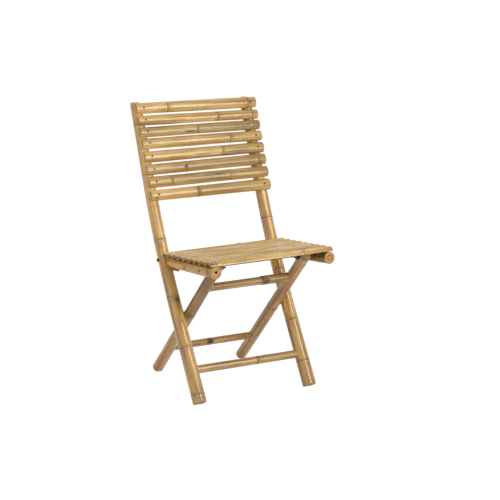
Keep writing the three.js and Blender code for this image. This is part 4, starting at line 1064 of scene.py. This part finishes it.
class CHAIR_OT_stretchers(bpy.types.Operator):
    """The three stretchers and the cross bar below the seat"""

    bl_idname = "chair.stretchers"
    bl_label = "Stretchers and cross bar"

    def execute(self, context):
        plan = Plan(context.scene)
        size = plan.sizes
        run = plan.run_at_height(size.front_stretcher_height)
        front = plan.side_path.spot(run)
        lower = plan.leg_point(size.lower_stretcher_height)
        upper = plan.leg_point(size.pivot_height - size.upper_stretcher_drop)
        bar = plan.seat_point(0, size.crossbar_setback, -size.crossbar_drop)
        pole_half = plan.pole_x - plan.pole_radius(run) + size.socket_depth
        leg_half = plan.leg_inner + size.socket_depth
        bar_half = plan.rail_x(size.crossbar_setback) - size.rail_radius + size.socket_depth

        def upper_radius(run):
            """The cane grows thicker past its node"""
            share = np.clip((run / (2 * leg_half) - CROSS_NODES["stretcher_upper"]) / 0.04 + 0.5, 0, 1)
            share = share * share * (3 - 2 * share)
            return size.upper_stretcher_radius + (size.upper_thick_radius - size.upper_stretcher_radius) * share

        # Name, middle, half length, radius, finish, body, slot and CAD node
        rows = (
            ("stretcher_front", front, pole_half, size.front_stretcher_radius, "varnished_bamboo_pole",
             "back_frame", "pole_cane", "front_stretcher"),
            ("stretcher_lower", lower, leg_half, size.lower_stretcher_radius, "varnished_bamboo_leg",
             "rear_legs", "leg_cane", "lower_leg_stretcher"),
            ("stretcher_upper", upper, leg_half, upper_radius, "varnished_bamboo_leg",
             "rear_legs", "leg_cane", "upper_leg_stretcher"),
            ("cross_bar", bar, bar_half, size.crossbar_radius, "varnished_bamboo_leg",
             "seat", "leg_cane", "seat_crossbar"),
        )
        for number, (name, centre, half, radius, skin, *place) in enumerate(rows):
            path = Path([(-half, *centre[1:]), (half, *centre[1:])], (0, 1, 0))
            piece = cane(
                plan, name, path, radius, [CROSS_NODES[name] * path.length], (flat_end(0), flat_end(path.length)),
                SEEDS["stretchers"] + number, CROSS_MARKS[name], (PLAIN_RINGS, PLAIN_RINGS), skin,
            )
            settle(piece, *place)
        return {"FINISHED"}


class CHAIR_OT_short_legs(bpy.types.Operator):
    """The two rear legs, with tops rounded about the seat bolts"""

    bl_idname = "chair.short_legs"
    bl_label = "Short legs"

    def execute(self, context):
        plan = Plan(context.scene)
        size = plan.sizes
        top = plan.pivot + plan.leg_up * size.leg_radius * 2
        pivot_run = float(np.linalg.norm(plan.pivot - plan.leg_low))

        def dome(a, b):
            """The top follows a cylinder about the seat bolt"""
            return pivot_run + np.sqrt(np.clip(size.leg_top_radius**2 - b**2, 0, None))

        for number, (side, mirror) in enumerate(SIDES):
            shift = np.array([mirror * plan.leg_x, 0, 0])
            path = Path([plan.leg_low + shift, top + shift], (1, 0, 0))
            nodes = [part * pivot_run for part in LEG_NODES[side]]
            piece = cane(
                plan, "leg_" + side, path, size.leg_radius, nodes, (foot_end(path), dome), SEEDS["legs"] + number,
                LEG_MARKS[side], (PLAIN_RINGS, PLAIN_RINGS), "varnished_bamboo_leg", rise_share=0.9,
            )
            settle(piece, "rear_legs", "leg_cane", "short_leg_" + side)
        return {"FINISHED"}


class CHAIR_OT_seat_rails(bpy.types.Operator):
    """The two seat rails, sawn square at the front and coped to the poles at the rear"""

    bl_idname = "chair.seat_rails"
    bl_label = "Seat rails"

    def execute(self, context):
        plan = Plan(context.scene)
        size = plan.sizes
        rake = unit(plan.seat_back - size.rail_end_rake * plan.seat_up)
        plane_spot = plan.seat_point(0, plan.bolt_back - size.rail_end_space, 0)
        pole_way = plan.side_path.way(np.array(plan.bolt_run))
        clear = plan.pole_radius(plan.bolt_run) + size.cope_gap
        for number, (side, mirror) in enumerate(SIDES):
            start = plan.seat_point(mirror * plan.rail_x(-size.rail_front), -size.rail_front, 0)
            end = plan.seat_point(mirror * plan.rail_x(plan.bolt_back), plan.bolt_back, 0)
            way = unit(end - start)
            path = Path([start, end], np.cross(plan.seat_up, way))
            third = np.cross(path.side, way)
            pole_spot = np.array([mirror * plan.pole_x, *plan.bolt_centre[1:]])

            def rear(a, b):
                """The rail ends at a raked saw cut, and where the pole is nearer at a hollow round it"""
                line = start + a[..., None] * path.side + b[..., None] * third
                cut = (plane_spot - line) @ rake / (way @ rake)
                off = line - pole_spot
                off = off - (off @ pole_way)[..., None] * pole_way
                run = way - (way @ pole_way) * pole_way
                half_b = off @ run
                inside = half_b**2 - (run @ run) * ((off * off).sum(-1) - clear**2)
                hit = np.where(inside > 0, (-half_b - np.sqrt(np.clip(inside, 0, None))) / (run @ run), np.inf)
                return np.minimum(cut, hit)

            nodes = [part * path.length for part in RAIL_NODES[side]]
            piece = cane(
                plan, "rail_" + side, path, size.rail_radius, nodes, (flat_end(0), rear), SEEDS["rails"] + number,
                RAIL_MARKS[side], (RAIL_RINGS[side], PLAIN_RINGS), "varnished_bamboo_rail",
            )
            settle(piece, "seat", "pole_cane", "seat_rail_" + side)
        return {"FINISHED"}


def pole_front(plan, x, pitches):
    """The point on the front of a pole where a back slat rests, and the pole's way there"""
    slats = plan.slats
    run = plan.top_run - slats.back_drop - slats.back_pitch * pitches
    way = plan.side_path.way(np.array(run))
    outward = np.array([0, -way[2], way[1]])
    spot = plan.side_path.spot(run) + outward * (plan.pole_radius(run) + slats.rest_gap)
    return np.array([x, spot[1], spot[2]]), way


def back_slat_places(plan):
    """For each back slat: its seats, its ways and its nails"""
    places = []
    for i in range(plan.slats.back_count):
        left, left_way = pole_front(plan, -plan.pole_x, i + BACK_LEFT_SHIFTS[i % len(BACK_LEFT_SHIFTS)])
        right, right_way = pole_front(plan, plan.pole_x, i + BACK_RIGHT_SHIFTS[i % len(BACK_RIGHT_SHIFTS)])
        along = unit(left_way + right_way)
        outward = unit(np.cross(right - left, along))
        nail_xs = (plan.slats.nail_inset - plan.pole_x, plan.pole_x)
        nails = [left + (right - left) * (x - left[0]) / (right[0] - left[0]) for x in nail_xs]
        places.append(((left, right), along, outward, nails))
    return places


def seat_slat_places(plan):
    """For each seat slat: its seats, its ways and its nails. Also the pitch of the slats"""
    size, slats = plan.sizes, plan.slats
    lift = size.rail_radius + slats.rest_gap
    front = -size.rail_front - slats.seat_overhang
    pitch = (plan.bolt_back - slats.seat_rear_space - front) / slats.seat_count
    places = []
    for i in range(slats.seat_count):
        back = front + pitch * (i + 0.5)
        x = plan.rail_x(back)
        seats = (plan.seat_point(-x, back, lift), plan.seat_point(x, back, lift))
        places.append((seats, plan.seat_back, plan.seat_up, seats))
    return places, pitch


def make_slats(plan, prefix, body, places, width, widths, nodes, marks, crown, wall, ends):
    """A row of slats that stand for their CAD nodes"""
    for i, place in enumerate(places):
        own = [mark[1:] for mark in marks if mark[0] == i + 1]
        # Seat slats get painted shade at the corners of their left ends
        if prefix == "seat":
            own += SEAT_CORNER_SHADE
        own_widths = [part * width for part in widths[i % len(widths)]]
        piece = slat(
            f"{prefix}_cane_{i + 1}", place, own_widths, crown, wall, ends, nodes[i % len(nodes)],
            SEEDS[prefix] + i, own, plan.sizes.node_rise,
        )
        settle(piece, body, "slat_cane", f"{prefix}_slat_{i + 1}")


class CHAIR_OT_back_slats(bpy.types.Operator):
    """The split cane slats of the back"""

    bl_idname = "chair.back_slats"
    bl_label = "Back slats"

    def execute(self, context):
        plan = Plan(context.scene)
        slats = plan.slats
        make_slats(
            plan, "back", "back_frame", back_slat_places(plan), slats.back_width, BACK_WIDTHS, BACK_NODES,
            BACK_MARKS, slats.back_crown, slats.back_wall, plan.back_ends,
        )
        return {"FINISHED"}


class CHAIR_OT_seat_slats(bpy.types.Operator):
    """The split cane slats of the seat"""

    bl_idname = "chair.seat_slats"
    bl_label = "Seat slats"

    def execute(self, context):
        plan = Plan(context.scene)
        slats = plan.slats
        places, pitch = seat_slat_places(plan)
        make_slats(
            plan, "seat", "seat", places, pitch - slats.seat_gap, SEAT_WIDTHS, SEAT_NODES,
            SEAT_MARKS, slats.seat_crown, slats.seat_wall, plan.seat_ends,
        )
        return {"FINISHED"}


def dome_rings(base, rise, radius, steps):
    """Rings of a round head, by shares of its height and radius"""
    return [(base + rise * high, radius * wide) for high, wide in steps] + [(base + rise, 0.05 * MM)]


class CHAIR_OT_nails(bpy.types.Operator):
    """The nails that hold the slats, with round heads"""

    bl_idname = "chair.nails"
    bl_label = "Nails"

    def execute(self, context):
        plan = Plan(context.scene)
        slats = plan.slats
        rows = (
            ("back", "back_frame", back_slat_places(plan), slats.back_crown, 1),
            ("seat", "seat", seat_slat_places(plan)[0], slats.seat_crown, SEAT_NAIL_SHARE),
        )
        for prefix, body, places, crown, share in rows:
            head = slats.nail_head_radius * share
            base = slats.nail_depth + crown
            profile = [
                (0, 0.1 * MM), (2 * MM, slats.nail_radius), (base - 0.3 * MM, slats.nail_radius),
                (base - 0.3 * MM, head * 0.94), *dome_rings(base, slats.nail_head_rise, head, NAIL_HEAD),
            ]
            for i, (_, _, outward, nails) in enumerate(places):
                for side, spot in zip(("left", "right"), nails):
                    bare = prefix == "back" and (side == "left" or i + 1 in BARE_RIGHT_NAILS)
                    skin = "oiled_black_steel" if bare else "tan_nail_putty"
                    start = spot - outward * slats.nail_depth
                    piece = lathe(f"{prefix}_nail_{i + 1}_{side}", start, outward, profile, 20, skin)
                    settle(piece, body, "dark_steel")
        return {"FINISHED"}


def domed_bolt(name, start, way, skin, length, radius, head_radius, head_rise, thread_length, pitch):
    """A bolt from its tail to a domed head, with a thread at its tail"""
    profile = [(0, radius * 0.55), (0.4 * MM, radius * 0.8)]
    profile += [(0.4 * MM + step, -radius) for step in np.arange(0, thread_length, pitch / 8)]
    profile += [(thread_length + 1.2 * MM, radius * 0.97), (length, radius * 0.97), (length, head_radius * 0.96)]
    profile += dome_rings(length, head_rise, head_radius, BOLT_HEAD)

    def thread(distance, here, turns):
        """Rings with a radius below nought carry the thread"""
        if here >= 0:
            return np.full(len(turns), here)
        phase = (distance / pitch + turns / (2 * math.pi)) % 1
        return -here - 0.55 * pitch * np.abs(2 * phase - 1) * 0.8

    return lathe(name, start, way, profile, 36, skin, thread)


def flat_ring(name, start, way, skin, height, bore, radius, flats=0):
    """A washer, or a nut with flats and chamfered corners"""
    edge = 0.6 * MM if flats else min(0.35 * MM, height * 0.2)
    chamfer = 0.9 * MM if flats else edge
    profile = [
        (0, bore), (0, radius - chamfer), (edge, radius), (height - edge, radius), (height, radius - chamfer),
        (height, bore), (0, bore),
    ]

    def flatten(distance, here, turns):
        """The flats of a nut cut its outer rings"""
        if not flats or here <= bore:
            return np.full(len(turns), here)
        sector = 2 * math.pi / flats
        off = (turns % sector) - sector / 2
        return np.minimum(here, radius * math.cos(sector / 2) / np.cos(off))

    return lathe(name, start, way, profile, 72, skin, flatten)


class CHAIR_OT_hardware(bpy.types.Operator):
    """The bolts, nuts, washers, screws and crossing pins"""

    bl_idname = "chair.hardware"
    bl_label = "Bolts, nuts and washers"

    def execute(self, context):
        plan = Plan(context.scene)
        size, metal = plan.sizes, plan.steel
        gap = metal.fit_gap
        pole = plan.pole_radius(plan.bolt_run)
        nut_top = plan.pole_x - pole - gap - metal.plate - gap
        nut_start = nut_top - metal.bracket_nut_height
        tail = nut_start - metal.bracket_tail
        seat_bolt_tail = plan.leg_inner - metal.seat_tail
        bar = plan.seat_point(0, size.crossbar_setback, -size.crossbar_drop)
        bar_x = plan.rail_x(size.crossbar_setback)
        screw_tail = bar_x - size.rail_radius + size.socket_depth - metal.screw_reach + gap
        # Kind, body, slot, point on its axis, start along X, maker and the maker's numbers
        rows = (
            ("bracket_bolt", "back_frame", "dark_steel", plan.bolt_centre, tail, domed_bolt,
             plan.pole_x + pole + gap - tail, metal.bracket_bolt_radius, metal.bracket_head_radius,
             metal.bracket_head_rise, metal.bracket_tail + metal.bracket_nut_height, metal.thread_pitch),
            ("bracket_nut", "back_frame", "zinc_steel", plan.bolt_centre, nut_start, flat_ring,
             metal.bracket_nut_height, metal.bracket_bolt_radius + gap, metal.bracket_nut_radius, 6),
            ("crossing_washer", "rear_legs", "zinc_steel", plan.crossing, plan.leg_outer + metal.washer_gap,
             flat_ring, metal.washer_height, metal.crossing_bore, metal.washer_radius),
            ("seat_bolt", "rear_legs", "dark_steel", plan.pivot, seat_bolt_tail, domed_bolt,
             plan.rail_x(0) + size.rail_radius + gap - seat_bolt_tail, metal.seat_bolt_radius,
             metal.seat_head_radius, metal.seat_head_rise, metal.seat_tail, metal.thread_pitch),
            ("seat_nut", "rear_legs", "dark_steel", plan.pivot, plan.leg_inner - gap - metal.seat_nut_height,
             flat_ring, metal.seat_nut_height, metal.seat_bolt_radius + gap, metal.seat_nut_radius, 6),
            ("seat_washer", "rear_legs", "zinc_steel", plan.pivot, plan.leg_outer + metal.seat_washer_gap,
             flat_ring, metal.seat_washer_height, metal.seat_bolt_radius + gap, metal.seat_washer_radius),
            ("crossbar_screw", "seat", "dark_steel", bar, screw_tail, domed_bolt,
             bar_x + size.rail_radius + gap - screw_tail, metal.screw_radius, metal.screw_head_radius,
             metal.screw_head_rise, SCREW_THREAD, metal.thread_pitch),
        )
        for side, mirror in SIDES:
            for kind, body, slot, point, start_x, maker, *numbers in rows:
                start = np.array([mirror * start_x, point[1], point[2]])
                skin = "oiled_black_steel" if slot == "dark_steel" else "zinc_plated_steel"
                piece = maker(f"{kind}_steel_{side}", start, (mirror, 0, 0), skin, *numbers)
                settle(piece, body, slot, f"{kind}_{side}")
            for material_slot in frame["nodes"]["crossing_pin_" + side].material_slots:
                material_slot.material = finish("zinc_plated_pin")
        return {"FINISHED"}


class CHAIR_OT_brackets(bpy.types.Operator):
    """The bent steel brackets whose hook pins carry the seat's rear end"""

    bl_idname = "chair.brackets"
    bl_label = "Brackets"

    def execute(self, context):
        plan = Plan(context.scene)
        size, metal = plan.sizes, plan.steel
        plate, ear, arm, radius = metal.plate, metal.ear_radius, metal.arm_height, metal.hook_radius
        lip_up = -size.rail_radius - metal.fit_gap
        edge_up = lip_up - plate * 0.3
        sunk = plate * 0.7
        under = lip_up - plate - arm
        bolt, bolt_up = plan.bolt_back, metal.bracket_bolt_rise
        front = bolt - metal.bracket_reach
        middle = front + metal.lip_length / 2
        outline = [
            (front, edge_up), (front, under + arm / 2), (front + arm / 2, under),
            (bolt - 2 * MM, under), (bolt + 1 * MM, under + 1 * MM),
            *((bolt + ear * math.cos(turn), bolt_up + ear * math.sin(turn)) for turn in np.linspace(0, math.pi, 25)),
            (bolt - ear, edge_up + 2 * MM), (bolt - ear - 2 * MM, edge_up),
        ]
        outer_x = plan.pole_x - plan.pole_radius(plan.bolt_run) - metal.fit_gap
        inner_x = outer_x - plate
        height = metal.hook_height + sunk
        profile = [
            (0, radius), (sunk, radius), (height - 1.4 * MM, radius), (height - 0.5 * MM, radius * 0.86),
            (height - 0.1 * MM, radius * 0.5), (height, 0.1 * MM),
        ]
        for side, mirror in SIDES:
            mesh = bmesh.new()
            first, second = (
                [mesh.verts.new(plan.seat_point(mirror * x, *spot)) for spot in outline] for x in (inner_x, outer_x)
            )
            mesh.faces.new(first)
            mesh.faces.new(second)
            for i in range(len(first)):
                k = (i + 1) % len(first)
                mesh.faces.new((first[i], first[k], second[k], second[i]))
            corners = [
                mesh.verts.new(plan.seat_point(mirror * x, back, up))
                for back in (front, front + metal.lip_length)
                for x in (inner_x - 0.2 * MM, inner_x + metal.lip_width)
                for up in (lip_up - plate, lip_up)
            ]
            for index in ((0, 1, 3, 2), (4, 6, 7, 5), (0, 4, 5, 1), (2, 3, 7, 6), (0, 2, 6, 4), (1, 5, 7, 3)):
                mesh.faces.new([corners[i] for i in index])
            bmesh.ops.recalc_face_normals(mesh, faces=mesh.faces)
            sharp = [edge for edge in mesh.edges if len(edge.link_faces) == 2 and edge.calc_face_angle() > 0.6]
            bmesh.ops.bevel(mesh, geom=sharp, offset=0.45 * MM, segments=2, profile=0.6, affect="EDGES")
            data = bpy.data.meshes.new("bracket_plate_" + side)
            mesh.to_mesh(data)
            mesh.free()
            data.materials.append(finish("rusted_bracket_steel"))
            layer = data.attributes.new("metal_space", "FLOAT_VECTOR", "POINT")
            for vertex in data.vertices:
                layer.data[vertex.index].vector = vertex.co
            piece = place_mesh("bracket_plate_" + side, data, 35)
            settle(piece, "back_frame", "dark_steel", "seat_bracket_" + side)
            foot = plan.seat_point(mirror * plan.rail_x(middle), middle, lip_up - sunk)
            pin = lathe("hook_pin_" + side, foot, plan.seat_up, profile, 28, "rusted_bracket_steel")
            settle(pin, "back_frame", "dark_steel", "seat_bracket_" + side)
        return {"FINISHED"}


def seen_directly(tree):
    """One for rays from the eye, straight or by gloss or glass, and nought for the rays that light things"""
    rays = add(tree, "ShaderNodeLightPath").outputs
    seen = add(tree, "ShaderNodeMath", (rays["Is Camera Ray"], rays["Is Glossy Ray"]), operation="MAXIMUM").outputs[0]
    return add(tree, "ShaderNodeMath", (seen, rays["Is Transmission Ray"]), operation="MAXIMUM").outputs[0]


def white_paper(tree, tint):
    """White paper floor: it shows white to the camera and in gloss, with the chair's faint shadow on it,
    and gives the chair a mild light from below"""
    place = add(tree, "ShaderNodeTexCoord").outputs["Object"]
    # Paper grain 4.5 mm across
    grain = add(tree, "ShaderNodeTexNoise", {"Vector": place, "Scale": 220, "Detail": 3}).outputs["Fac"]
    bump = add(tree, "ShaderNodeBump", {"Height": grain, "Strength": 0.1, "Distance": 0.0002}).outputs["Normal"]
    plain = add(tree, "ShaderNodeBsdfDiffuse", {"Color": (*tint, 1), "Normal": bump}).outputs[0]
    faint = add(tree, "ShaderNodeBsdfDiffuse", {"Color": (0.14, 0.14, 0.14, 1)}).outputs[0]
    glow = add(tree, "ShaderNodeEmission", {"Color": (1, 1, 1, 1), "Strength": 0.985}).outputs[0]
    white = add(tree, "ShaderNodeAddShader", (faint, glow)).outputs[0]
    mixed = add(tree, "ShaderNodeMixShader", (seen_directly(tree), plain, white)).outputs[0]
    add(tree, "ShaderNodeOutputMaterial", {"Surface": mixed})


def white_room(tree, stage):
    """White surround, which lights the chair evenly but for a little more on its left"""
    way = add(tree, "ShaderNodeTexCoord").outputs["Generated"]
    leftward = add(tree, "ShaderNodeVectorMath", (way, (-0.9, -0.3, 0.1)), operation="DOT_PRODUCT").outputs["Value"]
    inputs = (leftward, stage.side_light, stage.sky)
    strength = add(tree, "ShaderNodeMath", inputs, operation="MULTIPLY_ADD").outputs[0]
    room = add(tree, "ShaderNodeBackground", {"Color": (1, 0.985, 0.96, 1), "Strength": strength}).outputs[0]
    white = add(tree, "ShaderNodeBackground", {"Color": (1, 1, 1, 1), "Strength": 1}).outputs[0]
    mixed = add(tree, "ShaderNodeMixShader", (seen_directly(tree), room, white)).outputs[0]
    add(tree, "ShaderNodeOutputWorld", {"Surface": mixed})


class CHAIR_OT_stage(bpy.types.Operator):
    """The floor, the white surround, the soft lamps and the camera"""

    bl_idname = "chair.stage"
    bl_label = "Stage"

    def execute(self, context):
        scene = context.scene
        stage = scene.chair_stage
        mesh = bmesh.new()
        bmesh.ops.create_grid(mesh, x_segments=8, y_segments=8, size=14)
        data = bpy.data.meshes.new("studio_floor")
        mesh.to_mesh(data)
        mesh.free()
        material = bpy.data.materials.new("white_paper_floor")
        white_paper(blank_tree(material), scene.chair_colours.floor)
        data.materials.append(material)
        floor = bpy.data.objects.new("studio_floor", data)
        floor.location.z = -0.3 * MM
        scene.collection.objects.link(floor)
        scene.world = bpy.data.worlds.new("white_surround")
        white_room(blank_tree(scene.world), stage)

        target = Vector((cad_low + cad_high) / 2)
        # Name, way from the chair, distance, size, power and tint
        lamps = (
            ("key_softbox", stage.key_way, 3.4, (1.3, 2.4), stage.key_power, (1, 0.985, 0.955)),
            ("fill_softbox", (-0.85, -0.45, 0.5), 3.2, (3.4, 3), stage.fill_power, (1, 0.99, 0.98)),
            ("front_softbox", (-0.3, -1, 0.05), 3.2, (2, 1.4), stage.front_power, (1, 0.99, 0.98)),
            ("top_softbox", (0.1, 0.4, 1), 3.2, (2, 2), stage.top_power, (1, 0.99, 0.98)),
        )
        for name, way, distance, size, power, tint in lamps:
            way = Vector(way)
            lamp = bpy.data.lights.new(name, "AREA")
            lamp.shape = "RECTANGLE"
            lamp.size, lamp.size_y = size
            lamp.energy = power
            lamp.color = tint
            holder = bpy.data.objects.new(name, lamp)
            holder.location = target + way.normalized() * distance
            holder.rotation_mode = "QUATERNION"
            holder.rotation_quaternion = (-way).to_track_quat("-Z", "Y")
            scene.collection.objects.link(holder)

        right = Vector(stage.camera_right).normalized()
        up = Vector(stage.camera_up)
        up = (up - right * up.dot(right)).normalized()
        data = bpy.data.cameras.new("photo_camera")
        data.lens = stage.lens
        data.sensor_width = 36
        camera = bpy.data.objects.new("photo_camera", data)
        turn = Matrix((right, up, right.cross(up))).transposed().to_4x4()
        camera.matrix_world = Matrix.Translation(stage.camera_place) @ turn
        scene.collection.objects.link(camera)
        scene.camera = camera
        scene.view_settings.view_transform = "Standard"
        return {"FINISHED"}


class CHAIR_PT_panel(bpy.types.Panel):
    """Builds the chair piece by piece, with its sizes and colours"""

    bl_label = "Bamboo folding chair"
    bl_idname = "CHAIR_PT_panel"
    bl_space_type = "VIEW_3D"
    bl_region_type = "UI"
    bl_category = "Chair"

    def draw(self, context):
        layout = self.layout
        for operator in OPERATORS:
            layout.operator(operator.bl_idname)
        for name in SETTINGS:
            group = getattr(context.scene, name)
            box = layout.box()
            for key in group.__annotations__:
                box.prop(group, key)


OPERATORS = (
    CHAIR_OT_stage,
    CHAIR_OT_long_poles,
    CHAIR_OT_stretchers,
    CHAIR_OT_short_legs,
    CHAIR_OT_seat_rails,
    CHAIR_OT_back_slats,
    CHAIR_OT_seat_slats,
    CHAIR_OT_nails,
    CHAIR_OT_hardware,
    CHAIR_OT_brackets,
)
SETTINGS = {
    "chair_frame_sizes": ChairFrameSizes,
    "chair_slat_sizes": ChairSlatSizes,
    "chair_steel_sizes": ChairSteelSizes,
    "chair_colours": ChairColours,
    "chair_stage": ChairStage,
}


def register():
    """Adds the settings, the operators and the panel"""
    for name, group in SETTINGS.items():
        bpy.utils.register_class(group)
        setattr(bpy.types.Scene, name, bpy.props.PointerProperty(type=group))
    for item in (*OPERATORS, CHAIR_PT_panel):
        bpy.utils.register_class(item)


def unregister():
    """Takes the panel, the operators and the settings away"""
    for item in (CHAIR_PT_panel, *reversed(OPERATORS)):
        bpy.utils.unregister_class(item)
    for name, group in SETTINGS.items():
        delattr(bpy.types.Scene, name)
        bpy.utils.unregister_class(group)


def main():
    """Builds the stage and every piece"""
    register()
    for operator in OPERATORS:
        group, name = operator.bl_idname.split(".")
        getattr(getattr(bpy.ops, group), name)()


if __name__ == "__main__":
    main()
